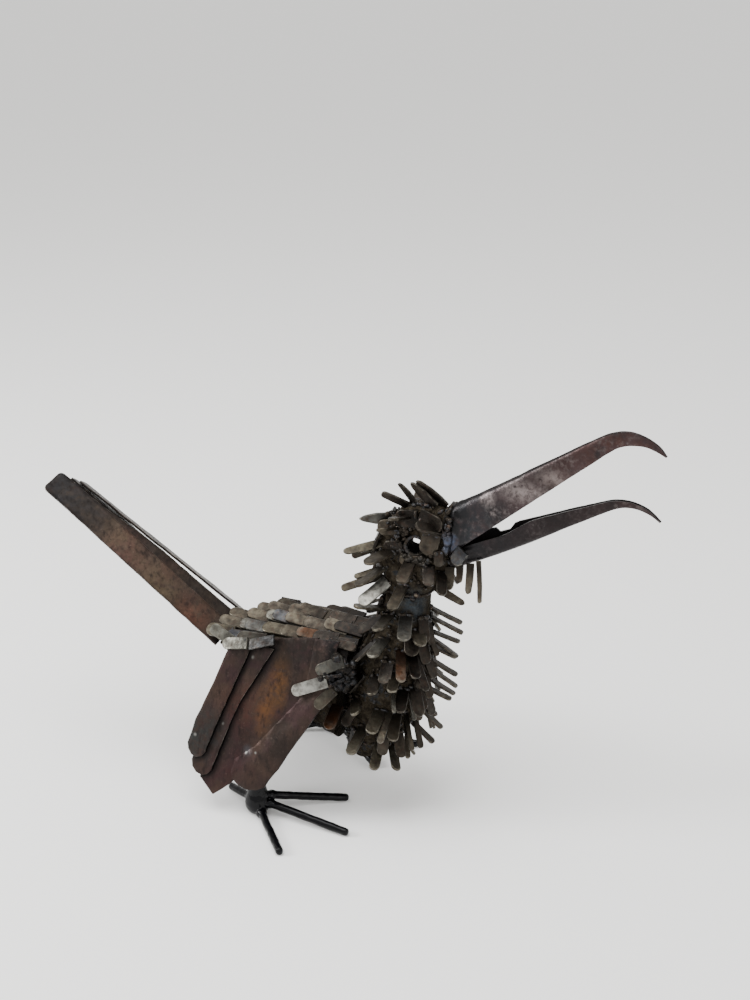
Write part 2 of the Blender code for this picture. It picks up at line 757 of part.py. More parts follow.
def make_beaks():
    """The upper beak is a ridge open below, and the lower one a trough that fits inside it."""
    upper_rise, lower_rise = math.radians(36.4), math.radians(27.0)
    start = FACE_PLANE + CLEARANCE
    upper = beak_line((start, 264.6), upper_rise, 152.6, math.radians(83.0), 4, 7)
    lower = beak_line((start, 239.7), lower_rise, 142.6, math.radians(72.3), 4, 7)
    upper_length, lower_length = upper[-1][0], lower[-1][0]
    upper_shape = beak_shell(
        upper,
        lambda run: 1.2 + (31.4 - 25.6 * run / upper_length) * closing(run / upper_length),
        lambda run: 20.4 - 17.4 * (run / upper_length) ** 0.8,
        False,
    )
    lower_shape = beak_shell(
        lower,
        lambda run: 1.4 + 24.6 * (1 - (run / lower_length) ** 1.2),
        lambda run: 14.6 - 12.0 * (run / lower_length) ** 0.9,
        True,
    )
    return (
        add_object("beak_upper", mesh_from(upper_shape, "beak_upper"), BEAK_STEEL),
        add_object("beak_lower", mesh_from(lower_shape, "beak_lower"), BEAK_STEEL),
    )


# ---------------------------------------------------------------- feet and legs
def round_bar(name, start, end, diameter, rounding=0.0):
    """A straight round bar, whose far end may be rounded off."""
    along = end - start
    shape = bmesh.new()
    bmesh.ops.create_cone(
        shape, cap_ends=True, segments=BAR_SIDES, radius1=diameter / 2, radius2=diameter / 2, depth=along.length
    )
    if rounding:
        rim = [edge for edge in shape.edges if all(vertex.co.z > 0 for vertex in edge.verts)]
        bmesh.ops.bevel(shape, geom=rim, offset=rounding, segments=2, profile=0.5, affect="EDGES")
    turn = Vector((0, 0, 1)).rotation_difference(along).to_matrix().to_4x4()
    place = Matrix.Translation((start + end) / 2) @ turn
    bmesh.ops.transform(shape, matrix=place, verts=shape.verts)
    return add_object(name, mesh_from(shape, name), PAINTED_BAR)


def foot_ball(name, centre):
    """A pear-shaped lump of weld round a bar end: a profile turned by a Screw, flat underneath."""
    shape = bmesh.new()
    points = [shape.verts.new((wide * MM, 0.0, height * MM)) for wide, height in reversed(BALL_PROFILE)]
    for upper, lower in zip(points, points[1:]):
        shape.edges.new((upper, lower))
    mesh = bpy.data.meshes.new(name)
    shape.to_mesh(mesh)
    shape.free()
    ball = add_object(name, mesh, PAINTED_BAR)
    ball.location = centre * MM
    screw = ball.modifiers.new("turn", "SCREW")
    screw.steps = screw.render_steps = BALL_SIDES
    screw.use_merge_vertices = True
    screw.merge_threshold = 0.0001
    bpy.context.view_layer.update()
    turned = evaluated_mesh(ball)
    turned.transform(ball.matrix_world)
    ball.modifiers.clear()
    ball.location = (0.0, 0.0, 0.0)
    ball.data = turned
    return ball


def make_foot(side_name, side, torso):
    """Ball, four toes and the leg that rises to the torso."""
    centre = Vector((0.0, side * BALL_SPREAD, 0.0))
    ball = foot_ball("foot_%s_ball" % side_name, centre)
    for toe, (angle, reach, root_height) in TOES.items():
        along = heading(side * angle, 0.0)
        root = centre + along * 4.0 + Vector((0.0, 0.0, root_height))
        tip = centre + along * reach + Vector((0.0, 0.0, TOE_BAR / 2))
        bar = round_bar("foot_%s_toe_%s" % (side_name, toe), root, tip, TOE_BAR, TOE_ROUNDING)
        trim(bar, ball)
    foot = centre + Vector((0.0, 0.0, BALL_PROFILE[-1][1] + CLEARANCE))
    leg = round_bar("leg_%s" % side_name, foot, Vector((8.0, side * 22.0, 104.0)), LEG_BAR)
    trim(leg, ball)
    trim(leg, torso)


# ---------------------------------------------------------------- assembly
def build():
    """Make every piece, and put the origin under the middle of the whole."""
    torso = add_object("torso", mesh_from(torso_shell(), "torso"), FEATHER_STEEL)
    breast = add_object("breast", mesh_from(breast_shell(), "breast"), FEATHER_STEEL)
    head = add_object("head", mesh_from(head_shell(), "head"), FEATHER_STEEL)
    boolean(head, eye_cutter(), "DIFFERENCE")
    beaks = make_beaks()
    tail = tail_feathers()
    wings = wing_feathers("right", -1) + wing_feathers("left", 1)
    for strip in tail + wings:
        trim(strip, torso)

    weld_feathers(torso, back_feathers(), wings + tail)
    weld_feathers(breast, breast_feathers(), wings)
    weld_feathers(head, head_feathers(), beaks)
    trim(breast, torso)
    trim(head, breast)
    for piece in (head, breast):
        for beak in beaks:
            trim(piece, beak)

    make_foot("right", -1, torso)
    make_foot("left", 1, torso)
    placed = [torso, breast, head] + wings + list(beaks)
    for name, feather in free_feathers().items():
        item = single(feather, name)
        for neighbour in placed:
            trim(item, neighbour)
        placed.append(item)

    corners = [vertex.co for item in PARTS.objects for vertex in item.data.vertices]
    middle = [(min(c[i] for c in corners) + max(c[i] for c in corners)) / 2 for i in range(2)]
    ground = min(c.z for c in corners)
    for item in PARTS.objects:
        item.data.transform(Matrix.Translation((-middle[0], -middle[1], -ground)))


build()
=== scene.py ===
# %% [markdown]
# # A hornbill welded from scrap steel
#
# The real bird is made of three kinds of stock: sheet cut into long strips for the wings,
# the tail and the beak, round bar for the legs and toes, and short offcuts of flat bar for
# the small feathers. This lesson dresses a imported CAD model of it, which comes in as a
# fixed frame. Nothing in the frame is moved. Each piece that is made here stands where a
# CAD piece stands, and then takes its place.

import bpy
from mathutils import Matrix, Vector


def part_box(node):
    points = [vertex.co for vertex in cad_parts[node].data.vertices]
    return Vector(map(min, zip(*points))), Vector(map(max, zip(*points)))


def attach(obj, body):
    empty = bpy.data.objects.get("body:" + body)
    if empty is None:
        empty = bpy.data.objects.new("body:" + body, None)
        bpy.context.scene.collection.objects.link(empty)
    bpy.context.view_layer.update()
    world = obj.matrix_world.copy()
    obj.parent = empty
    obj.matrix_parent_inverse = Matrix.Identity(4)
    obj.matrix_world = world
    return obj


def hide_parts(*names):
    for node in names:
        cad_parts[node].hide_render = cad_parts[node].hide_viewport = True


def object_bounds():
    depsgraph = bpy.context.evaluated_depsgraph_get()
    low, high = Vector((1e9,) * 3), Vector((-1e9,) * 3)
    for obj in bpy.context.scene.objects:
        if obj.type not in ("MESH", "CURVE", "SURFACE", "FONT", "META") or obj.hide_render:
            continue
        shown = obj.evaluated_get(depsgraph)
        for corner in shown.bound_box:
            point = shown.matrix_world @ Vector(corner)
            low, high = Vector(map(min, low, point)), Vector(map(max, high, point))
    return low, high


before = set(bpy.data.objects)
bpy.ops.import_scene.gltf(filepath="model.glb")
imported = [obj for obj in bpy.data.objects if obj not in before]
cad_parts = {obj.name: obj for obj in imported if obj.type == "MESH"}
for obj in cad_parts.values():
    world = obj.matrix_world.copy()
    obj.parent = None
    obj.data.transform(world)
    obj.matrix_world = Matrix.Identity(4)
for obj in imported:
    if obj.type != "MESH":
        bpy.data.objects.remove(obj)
cad_low, cad_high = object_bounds()
print("CAD box in metres:", [round(value, 4) for value in cad_high - cad_low])

# %% The tools this lesson uses
import math
import random

import bmesh
import bpy
from mathutils import Matrix, Vector, noise
from mathutils.bvhtree import BVHTree

# the bird is measured in millimetres, and this turns them to metres
MM = 0.001
print("nodes in the frame:", len(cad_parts))

# %% [markdown]
# ## Where things are
#
# Places on the bird are in millimetres from the ground under the right foot's ball, and
# from the bird's middle plane, because that is where a maker would measure from. One point
# read from the frame ties them to the model.

# %% The maker's datum
ball_low, ball_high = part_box("foot_right_ball")
DATUM = Vector(((ball_low.x + ball_high.x) / 2, 0.0, ball_low.z))
# the middle of the eye, which both a finish and the drill start from
EYE = Vector((115.6, 0.0, 247.3))
print("datum in metres:", [round(value, 4) for value in DATUM])


def placed(point):
    """A point in millimetres from the datum, turned into metres in the frame."""
    return DATUM + Vector(point) * MM


# %% [markdown]
# ## Camera, floor and light
#
# The camera stands ahead of the bird's right side and looks down on it at 22 degrees. The
# point that it aims at is a share of the bird's box. A big soft light overhead and a pale
# room give steel the broad highlights that make it read as metal: polished metal looks
# like whatever is round it, so the room matters as much as the lamps.

# %% Camera
CAMERA_AZIMUTH = math.radians(24.0)
CAMERA_ELEVATION = math.radians(22.0)
# in metres
CAMERA_DISTANCE = 1.234
# in millimetres
CAMERA_LENS, SENSOR_WIDTH = 53.8, 36.0
# where it looks, as shares of the bird's box
CAMERA_AIM = (0.571, 0.5, 0.755)
aim = cad_low + Vector([share * side for share, side in zip(CAMERA_AIM, cad_high - cad_low)])
back = Vector(
    (
        math.sin(CAMERA_AZIMUTH) * math.cos(CAMERA_ELEVATION),
        -math.cos(CAMERA_AZIMUTH) * math.cos(CAMERA_ELEVATION),
        math.sin(CAMERA_ELEVATION),
    )
)
camera = bpy.data.objects.new("camera", bpy.data.cameras.new("camera"))
bpy.context.scene.collection.objects.link(camera)
camera.location = aim + back * CAMERA_DISTANCE
camera.rotation_euler = back.to_track_quat("Z", "Y").to_euler()
camera.data.lens = CAMERA_LENS
camera.data.sensor_width = SENSOR_WIDTH
bpy.context.scene.camera = camera
print("camera at", [round(value, 3) for value in camera.location])

# %% Floor and light
# in metres
FLOOR_WIDTH = 60.0
ROOM_LIGHT = 1.3
# each soft light's name, its place and width in metres, and its power in watts
LIGHTS = (
    ("light_overhead", (-0.2, -0.3, 1.9), 1.5, 36.0),
    ("light_left", (-1.7, -0.9, 1.1), 0.6, 34.0),
    ("light_front_right", (1.5, -1.7, 1.1), 1.0, 8.0),
)
LIT_POINT = Vector((0.0, 0.0, 0.15))


def linear(code):
    """Turn an sRGB hex colour into the linear colour that a shader wants."""
    values = [int(code[i : i + 2], 16) / 255 for i in (1, 3, 5)]
    return [v / 12.92 if v <= 0.04045 else ((v + 0.055) / 1.055) ** 2.4 for v in values] + [1.0]


bpy.ops.mesh.primitive_plane_add(size=FLOOR_WIDTH, location=(0.0, 0.0, cad_low.z))
floor = bpy.context.active_object
floor.name = "floor"
floor_material = bpy.data.materials.new("pale_matt_floor")
floor_material.use_nodes = True
floor_shader = floor_material.node_tree.nodes["Principled BSDF"]
floor_shader.inputs["Base Color"].default_value = linear("#F4F4F3")
floor_shader.inputs["Roughness"].default_value = 0.9
floor.data.materials.append(floor_material)


def soft_light(name, place, width, power):
    """Hang a square soft light that faces the bird."""
    light = bpy.data.objects.new(name, bpy.data.lights.new(name, "AREA"))
    light.data.shape = "SQUARE"
    light.data.size = width
    light.data.energy = power
    light.location = place
    light.rotation_euler = (Vector(place) - LIT_POINT).to_track_quat("Z", "Y").to_euler()
    bpy.context.scene.collection.objects.link(light)


for name, place, width, power in LIGHTS:
    soft_light(name, place, width, power)
world = bpy.data.worlds.new("pale_room")
world.use_nodes = True
bpy.context.scene.world = world
world.node_tree.nodes["Background"].inputs["Color"].default_value = linear("#F6F5F3")
world.node_tree.nodes["Background"].inputs["Strength"].default_value = ROOM_LIGHT

# %% [markdown]
# ## Finishes
#
# Every surface here is mild steel, and only its history differs. Sheet that was cut and
# forged carries a brown to purple oxide with patches of rust. The offcuts have mill scale,
# an olive brown skin that wears lighter where it is touched. Heat from the welding torch
# leaves blue and straw tints, and the feet were painted black. A metal under an oxide skin
# is duller than clean metal, so its colours are dark and its roughness is middling.
#
# Numbers that ride on the mesh steer the finish: `wear` is high on cut edges, `tone` picks
# the skin's colour, `shade` darkens it: it is painted shade on sawn sides, on a strip that
# lies under another and on the beak's inside and ridge, and it also darkens a beak's root and
# a tail's tip. `heat` is 1 at a welded root, `dusk` is a shadow painted on a feather's root
# where the next one laps it, `soot` is a shadow painted on a strip under the lap of another,
# and `worn` grows towards a free end.
#
# Each finish is built up as a painter would: a first coat, then one layer after another,
# each where some cloudy noise is high. The clouds' sizes are real ones in millimetres. The
# real scale and rust are finer than the smallest clouds, which are drawn as coarse as they
# need to be to show.

# %% Lay one layer on another


def add_node(tree, kind, values=None, links=None, stops=(), **settings):
    """Add a node: its settings, its sockets' values, what feeds them, and a ramp's stops."""
    node = tree.nodes.new(kind)
    for name, value in settings.items():
        setattr(node, name, value)
    for socket, value in (values or {}).items():
        node.inputs[socket].default_value = value
    for socket, source in (links or {}).items():
        tree.links.new(source, node.inputs[socket])
    if stops:
        elements = node.color_ramp.elements
        while len(elements) < len(stops):
            elements.new(0.5)
        for element, (position, code) in zip(elements, stops):
            element.position = position
            element.color = linear(code)
    return node


def new_finish(name, *numbers):
    """A material, its tree, shader and Object coordinates, and numbers that ride on the mesh."""
    material = bpy.data.materials.new(name)
    material.use_nodes = True
    tree = material.node_tree
    where = add_node(tree, "ShaderNodeTexCoord").outputs["Object"]
    riding = [add_node(tree, "ShaderNodeAttribute", attribute_name=number) for number in numbers]
    return material, tree, tree.nodes["Principled BSDF"], where, *[node.outputs["Fac"] for node in riding]


def clouds(tree, where, spacing_mm, detail=3.0, roughness=0.55, stretch=None):
    """Cloudy noise whose blotches have a size in millimetres, longer where stretch is small."""
    if stretch:
        where = add_node(tree, "ShaderNodeMapping", {"Scale": stretch}, {"Vector": where}).outputs["Vector"]
    values = {"Scale": 1.0 / (spacing_mm * MM), "Detail": detail, "Roughness": roughness}
    return add_node(tree, "ShaderNodeTexNoise", values, {"Vector": where}).outputs["Fac"]


def spread(tree, source, span, reach, times=None):
    """Stretch a source's span to another reach, and multiply it by a second source."""
    values = dict(zip(("From Min", "From Max", "To Min", "To Max"), span + reach))
    result = add_node(tree, "ShaderNodeMapRange", values, {"Value": source}).outputs["Result"]
    if times:
        links = {0: result, 1: times}
        result = add_node(tree, "ShaderNodeMath", links=links, operation="MULTIPLY").outputs[0]
    return result


def layer(tree, skin, colour, source, span, strength, times=None):
    """Lay a colour over a skin: none where a source's span starts, and `strength` where it ends."""
    links = {0: spread(tree, source, span, (0.0, strength), times)}
    node = add_node(tree, "ShaderNodeMix", links=links, data_type="RGBA", clamp_factor=True)
    for socket, paint in ((6, skin), (7, colour)):
        if isinstance(paint, str):
            node.inputs[socket].default_value = linear(paint)
        else:
            tree.links.new(paint, node.inputs[socket])
    return node.outputs[2]


def patches(tree, where, skin, spots, blotch_mm):
    """Lay ragged patches over a skin: each is a centre, radius, stretch, colour and strength."""
    ragged = spread(tree, clouds(tree, where, blotch_mm, 5.0, 0.65), (0.32, 0.58), (0.0, 1.0))
    for centre, radius, stretch, code, strength in spots:
        away = where
        for operation, by in (("SUBTRACT", placed(centre)), ("MULTIPLY", stretch)):
            away = add_node(tree, "ShaderNodeVectorMath", {1: by}, {0: away}, operation=operation).outputs[0]
        gap = add_node(tree, "ShaderNodeVectorMath", links={0: away}, operation="LENGTH").outputs["Value"]
        skin = layer(tree, skin, code, gap, (radius * MM, 0.0), strength, ragged)
    return skin


def cover(tree, shader, skin, metallic, roughness, *relief):
    """Feed a shader: relief is layers of height, each a source, its depth in mm and a strength."""
    shader.inputs["Metallic"].default_value = metallic
    tree.links.new(skin, shader.inputs["Base Color"])
    tree.links.new(roughness, shader.inputs["Roughness"])
    links = {}
    for height, depth_mm, strength in relief:
        links["Height"] = height
        node = add_node(tree, "ShaderNodeBump", {"Strength": strength, "Distance": depth_mm * MM}, links)
        links["Normal"] = node.outputs["Normal"]
    tree.links.new(links["Normal"], shader.inputs["Normal"])


print("ready to lay layers")

# %% [markdown]
# ### The feathers' steel
#
# Flat bar comes from the mill with a grey scale on it. On this bird it has browned, it is
# polished where hands and tools touch it, and it is rusty or blued next to the welds. A
# shadow is painted on each root, where the next feather laps it.

# %% Mill-scaled flat bar
# tone: near black, dark brown, two olives, blue grey, two greys, worn bright, and two rusts
BAR_TONES = (
    (0.00, "#13110F"),
    (0.14, "#28231E"),
    (0.28, "#3B352C"),
    (0.40, "#4C473B"),
    (0.50, "#35373B"),
    (0.60, "#56554E"),
    (0.72, "#7D7C73"),
    (0.82, "#B2B1AB"),
    (0.90, "#2E1E13"),
    (1.00, "#523118"),
)
RUSTS = ((0.3, "#2E1E13"), (0.7, "#5C4025"))
WHOLE = (0.0, 1.0)


def flat_bar_finish():
    material, tree, shader, where, tone, wear, heat, worn, dusk = new_finish(
        "mill_scaled_flat_bar", "tone", "wear", "heat", "worn", "dusk"
    )
    mottle = clouds(tree, where, 7.0, 5.0)
    speck = clouds(tree, where, 1.6, 4.0, 0.7)
    browned = clouds(tree, where, 4.0, 4.0, 0.65)
    rust = add_node(tree, "ShaderNodeValToRGB", links={"Fac": speck}, stops=RUSTS).outputs["Color"]
    skin = add_node(tree, "ShaderNodeValToRGB", links={"Fac": tone}, stops=BAR_TONES).outputs["Color"]
    skin = layer(tree, skin, "#181411", mottle, (0.42, 0.70), 0.8)
    skin = layer(tree, skin, "#767165", clouds(tree, where, 5.0, 4.0), (0.42, 0.66), 0.55, worn)
    skin = layer(tree, skin, "#6A6254", speck, (0.60, 0.78), 0.4)
    skin = layer(tree, skin, "#372921", browned, (0.50, 0.66), 0.5)
    # a shadow painted on the root, where the next feather laps it
    skin = layer(tree, skin, "#0C0A09", dusk, WHOLE, 0.52)
    skin = layer(tree, skin, rust, clouds(tree, where, 9.0, 4.0), (0.44, 0.60), 0.7, heat)
    skin = layer(tree, skin, "#3A404E", clouds(tree, where, 12.0, 2.0), (0.54, 0.66), 0.4, heat)
    skin = layer(tree, skin, "#8E897D", clouds(tree, where, 3.0, 4.0), (0.45, 0.64), 0.7, wear)
    polish = spread(tree, mottle, (0.3, 0.7), (0.28, 0.50))
    cover(tree, shader, skin, 0.85, polish, (clouds(tree, where, 4.5, 3.0), 0.6, 0.7), (speck, 0.15, 0.5))
    return material


FLAT_BAR = flat_bar_finish()
print("made", FLAT_BAR.name)

# %% [markdown]
# ### The sheet of the wings and the tail
#
# The strips were cut hot from old sheet. Their faces are a dark brown that turns purple
# where the metal was hottest, orange rust has come through in the middle of the wing, and
# the cut edges are a little brighter. The marks run along the strips, as they were
# hammered. `shade` on a strip says how much darker it is than its neighbours; it is painted
# shade on the sawn sides, on an arris that is hardly rubbed, and on the tail strip that lies
# under another.

# %% Heat-browned sheet
ROUND = (1.0, 1.0, 1.0)


def browned_sheet_finish(name, light, dark, purple, spots):
    material, tree, shader, where, wear, shade, soot = new_finish(name, "wear", "shade", "soot")
    broad = clouds(tree, where, 30.0, 5.0, 0.6)
    fine = clouds(tree, where, 2.2, 4.0, 0.7)
    streak = clouds(tree, where, 4.5, 5.0, 0.65, (1.0, 1.0, 0.25))
    skin = layer(tree, dark, light, broad, (0.36, 0.64), 1.0)
    skin = layer(tree, skin, purple, clouds(tree, where, 24.0, 3.0), (0.50, 0.66), 0.6)
    skin = patches(tree, where, skin, spots, 7.0)
    skin = layer(tree, skin, "#140F0E", streak, (0.50, 0.72), 0.75)
    skin = layer(tree, skin, "#64584F", fine, (0.60, 0.78), 0.4)
    skin = layer(tree, skin, "#100D0C", shade, WHOLE, 0.85)
    skin = layer(tree, skin, "#7F7870", clouds(tree, where, 6.0, 4.0), (0.40, 0.66), 0.7, wear)
    # a shadow painted under the lap of the strip above
    skin = layer(tree, skin, "#060505", soot, WHOLE, 1.0)
    polish = spread(tree, streak, (0.3, 0.7), (0.36, 0.58))
    hammer = clouds(tree, where, 12.0, 2.0)
    cover(tree, shader, skin, 0.85, polish, (hammer, 1.2, 0.5), (streak, 0.4, 0.4), (fine, 0.12, 0.5))
    return material


WING_SHEET = browned_sheet_finish(
    "heat_browned_wing_sheet",
    "#3A2D27",
    "#261F1C",
    "#302023",
    (
        ((12.0, -55.0, 118.0), 28.0, (2.2, 0.5, 0.8), "#5A3D22", 0.9),
        ((2.0, -62.0, 95.0), 22.0, (1.9, 0.5, 0.8), "#5E4024", 0.9),
        ((-18.0, -64.0, 92.0), 30.0, ROUND, "#40241F", 0.7),
        ((-32.0, -78.0, 48.0), 42.0, ROUND, "#331F1E", 0.9),
        ((-8.0, -74.0, 58.0), 7.0, ROUND, "#3E4044", 0.8),
        ((-56.0, -74.0, 62.0), 40.0, ROUND, "#2A2B2A", 1.2),
        ((20.0, -42.0, 146.0), 40.0, (0.6, 1.0, 1.6), "#201D1B", 0.9),
        ((64.0, 0.0, 154.0), 30.0, (1.0, 0.0, 0.8), "#0F0D0D", 1.6),
        # single drops of spatter
        ((-14.5, 0.0, 135.0), 2.0, (1.0, 0.0, 1.0), "#6E6D69", 1.2),
        ((-9.0, 0.0, 57.0), 1.8, (1.0, 0.0, 1.0), "#6E6D69", 1.2),
        ((0.0, 0.0, 59.0), 1.4, (1.0, 0.0, 1.0), "#6E6D69", 1.2),
        ((-34.0, 0.0, 77.0), 1.7, (1.0, 0.0, 1.0), "#6E6D69", 1.2),
        ((-58.0, 0.0, 64.5), 2.0, (1.0, 0.0, 1.0), "#6E6D69", 1.2),
    ),
)
TAIL_SHEET = browned_sheet_finish(
    "heat_browned_tail_sheet",
    "#3E3328",
    "#2A221D",
    "#35241F",
    (
        ((-245.0, -15.0, 255.0), 95.0, ROUND, "#222224", 1.0),
        ((-230.0, -15.0, 245.0), 60.0, ROUND, "#232325", 0.9),
        ((-158.0, -25.0, 190.0), 34.0, ROUND, "#3E2A25", 0.9),
        ((-122.0, -25.0, 165.0), 30.0, ROUND, "#3D3326", 0.9),
        ((-60.0, -25.0, 125.0), 62.0, ROUND, "#1E1917", 0.9),
        ((-90.0, -25.0, 146.0), 28.0, ROUND, "#452B21", 0.8),
    ),
)
print("made", WING_SHEET.name, "and", TAIL_SHEET.name)

# %% [markdown]
# ### Beak, paint and weld
#
# The beak is the same sheet, but rubbed in small patches that are painted lighter, as
# painted highlights where it shines, and almost black inside, which is painted shade. Weld
# metal is dark with a blue skin and is rounder than anything else. The shells under the
# feathers are matt and smoke-blackened. The feet carry a thick black gloss enamel, which is
# a plastic film and not a metal.

# %% Burnished beak sheet
BEAK_STAINS = (
    ((160.0, 0.0, 268.0), 58.0, ROUND, "#222427", 1.15),
    ((147.0, 0.0, 270.0), 30.0, (1.4, 1.0, 1.0), "#151516", 2.0),
    ((148.0, -10.0, 256.0), 9.0, ROUND, "#5C6A84", 0.8),
    ((275.0, 0.0, 350.0), 60.0, ROUND, "#3E2722", 0.8),
    ((250.0, 0.0, 300.0), 60.0, ROUND, "#362826", 0.7),
)
# patches where the beak is rubbed, painted light to stand for its highlights as well
BEAK_RUBBED_HIGHLIGHTS = (
    ((178.0, 0.0, 297.0), 9.0, (1.0, 0.0, 1.0), "#8E8482", 0.9),
    ((206.0, 0.0, 307.0), 19.0, (0.7, 0.0, 1.6), "#857B79", 0.8),
    ((232.0, 0.0, 322.0), 15.0, (0.7, 0.0, 1.6), "#7A6F6C", 0.8),
)


def beak_finish():
    material, tree, shader, where, wear, shade = new_finish("burnished_beak_sheet", "wear", "shade")
    speck = clouds(tree, where, 3.2, 5.0, 0.65)
    rubbed = spread(tree, clouds(tree, where, 22.0, 3.0), (0.46, 0.62), (0.1, 0.5))
    skin = layer(tree, "#231E1E", "#392D2E", clouds(tree, where, 26.0, 4.0, 0.6), (0.36, 0.64), 1.0)
    # light specks where the beak is rubbed, painted also as the speckled glint of its shine
    skin = layer(tree, skin, "#7E7674", speck, (0.46, 0.66), 1.0, rubbed)
    skin = patches(tree, where, skin, BEAK_STAINS, 8.0)
    skin = patches(tree, where, skin, BEAK_RUBBED_HIGHLIGHTS, 3.5)
    skin = layer(tree, skin, "#0B0A0B", shade, WHOLE, 0.9)
    skin = layer(tree, skin, "#7F7772", clouds(tree, where, 7.0, 4.0), (0.40, 0.62), 0.6, wear)
    # the painted shade on the inside is made matt as well, and the rubbed outside has a shine
    polish = spread(tree, speck, (0.35, 0.70), (0.42, 0.24))
    sooty = spread(tree, shade, (0.82, 1.0), (0.0, 0.85))
    matt = add_node(tree, "ShaderNodeMath", links={0: polish, 1: sooty}, operation="MAXIMUM").outputs[0]
    cover(tree, shader, skin, 0.8, matt, (clouds(tree, where, 9.0, 3.0), 0.9, 0.5), (speck, 0.25, 0.7))
    return material


BEAK_SHEET = beak_finish()
print("made", BEAK_SHEET.name)

# %% Black gloss enamel, weld metal and the shells' steel


def enamel_finish():
    material, tree, shader, where = new_finish("black_gloss_enamel")
    lumps = clouds(tree, where, 5.0, 3.0)
    skin = layer(tree, "#040406", "#0E0C0E", clouds(tree, where, 10.0, 4.0), (0.60, 0.72), 0.5)
    gloss = spread(tree, lumps, (0.35, 0.65), (0.04, 0.14))
    cover(tree, shader, skin, 0.0, gloss, (lumps, 0.7, 0.6), (clouds(tree, where, 1.5, 2.0), 0.05, 0.2))
    shader.inputs["IOR"].default_value = 1.25
    return material


def dark_steel_finish(name, glint, smoothest, roughest, relief_mm, stops, spots):
    material, tree, shader, where = new_finish(name)
    coat = clouds(tree, where, 8.0, 4.0, 0.6)
    fine = clouds(tree, where, 1.4, 3.0)
    skin = add_node(tree, "ShaderNodeValToRGB", links={"Fac": coat}, stops=stops).outputs["Color"]
    skin = patches(tree, where, skin, spots, 5.0)
    rough = spread(tree, fine, (0.35, 0.65), (smoothest, roughest))
    lumps = clouds(tree, where, 4.0, 4.0, 0.65)
    cover(tree, shader, skin, 0.9, rough, (lumps, relief_mm, 0.8), (fine, 0.15, 0.5))
    shader.inputs["Specular Tint"].default_value = linear(glint)
    return material


ENAMEL = enamel_finish()
WELD_METAL = dark_steel_finish(
    "weld_metal",
    "#FFFFFF",
    0.30,
    0.55,
    0.6,
    ((0.32, "#1D1A16"), (0.46, "#302A24"), (0.56, "#323437"), (0.66, "#3F322A"), (0.76, "#6E695F")),
    (
        ((148.0, -12.0, 255.0), 13.0, ROUND, "#454C5E", 0.9),
        ((148.0, 12.0, 255.0), 13.0, ROUND, "#454C5E", 0.9),
        ((118.0, -12.0, 237.0), 20.0, (0.7, 1.0, 1.6), "#32302D", 0.9),
        # slag on both shoulders
        ((64.0, 0.0, 134.0), 30.0, (1.0, 0.0, 1.0), "#0D0D0F", 1.3),
    ),
)
# a smoke-blackened skin takes the glint off an edge, also down the eye's bore
SOOTY_SHELL = dark_steel_finish(
    "sooty_beaten_shell",
    "#7A7A7A",
    0.55,
    0.85,
    2.5,
    ((0.32, "#181512"), (0.46, "#2B261F"), (0.56, "#3A342B"), (0.66, "#2C2E31"), (0.80, "#524B40")),
    (
        ((120.0, -17.0, 196.0), 20.0, ROUND, "#3E464D", 0.9),
        # the wall of the eye's bore is painted black, as its shade
        (EYE, 9.5, (1.0, 0.05, 1.0), "#010101", 8.0),
    ),
)
print("made", ENAMEL.name, WELD_METAL.name, SOOTY_SHELL.name)

# %% [markdown]
# ## The workbench
#
# A few helpers do what a hand does with the mouse: pick one object, add a modifier and
# apply it, and hang a finished piece on the frame. Each finished mesh is handed to `dress`,
# which gives it its finish and hides the CAD nodes that it stands for.

# %% Pick, modify and hang


def pick(item):
    """Select one object alone and make it the active one."""
    bpy.ops.object.select_all(action="DESELECT")
    item.select_set(True)
    bpy.context.view_layer.objects.active = item
    return item


def modify(item, kind, **settings):
    """Add a modifier with its settings and apply it."""
    modifier = item.modifiers.new(kind.lower(), kind)
    for name, value in settings.items():
        setattr(modifier, name, value)
    pick(item)
    bpy.ops.object.modifier_apply(modifier=modifier.name)
    return item


def eased(item, width):
    """Bevel the sharp rims of a piece by a width in millimetres."""
    sharp = math.radians(40)
    return modify(item, "BEVEL", width=width * MM, segments=1, limit_method="ANGLE", angle_limit=sharp)


def fresh(add_primitive, name, **settings):
    """Add a primitive with nothing else selected, and name it."""
    bpy.ops.object.select_all(action="DESELECT")
    add_primitive(**settings)
    item = bpy.context.active_object
    item.name = item.data.name = name
    return item


def settle(item):
    """Bake an object's place, turn and size into its mesh."""
    pick(item)
    bpy.ops.object.transform_apply(location=True, rotation=True, scale=True)
    return item


def smooth(item, angle):
    """Shade smooth where faces meet at less than an angle in degrees."""
    pick(item)
    bpy.ops.object.shade_smooth_by_angle(angle=math.radians(angle))
    return item


def outwards(item):
    """Merge doubles and turn all faces outwards."""
    pick(item)
    bpy.ops.object.mode_set(mode="EDIT")
    bpy.ops.mesh.select_all(action="SELECT")
    bpy.ops.mesh.remove_doubles(threshold=0.02 * MM)
    bpy.ops.mesh.normals_make_consistent(inside=False)
    bpy.ops.object.mode_set(mode="OBJECT")
    return item


def dress(item, finish, slot_name, *nodes):
    """Give a finished piece its material and its body, and hide the nodes it stands for."""
    item.data.materials.clear()
    item.data.materials.append(finish)
    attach(item, "root")
    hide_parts(*nodes)
    return item


def move_points(item, mover):
    """Move each vertex by a function of its place, in metres."""
    for vertex in item.data.vertices:
        vertex.co = mover(vertex.co)
    item.data.update()
    return item


def ripple(point, spacing_mm, seed=0.0):
    """Smooth noise from -1 to 1 at a place, with hills of about the given size."""
    return noise.noise(point / (spacing_mm * MM) + Vector((seed, seed * 0.7, -seed)))


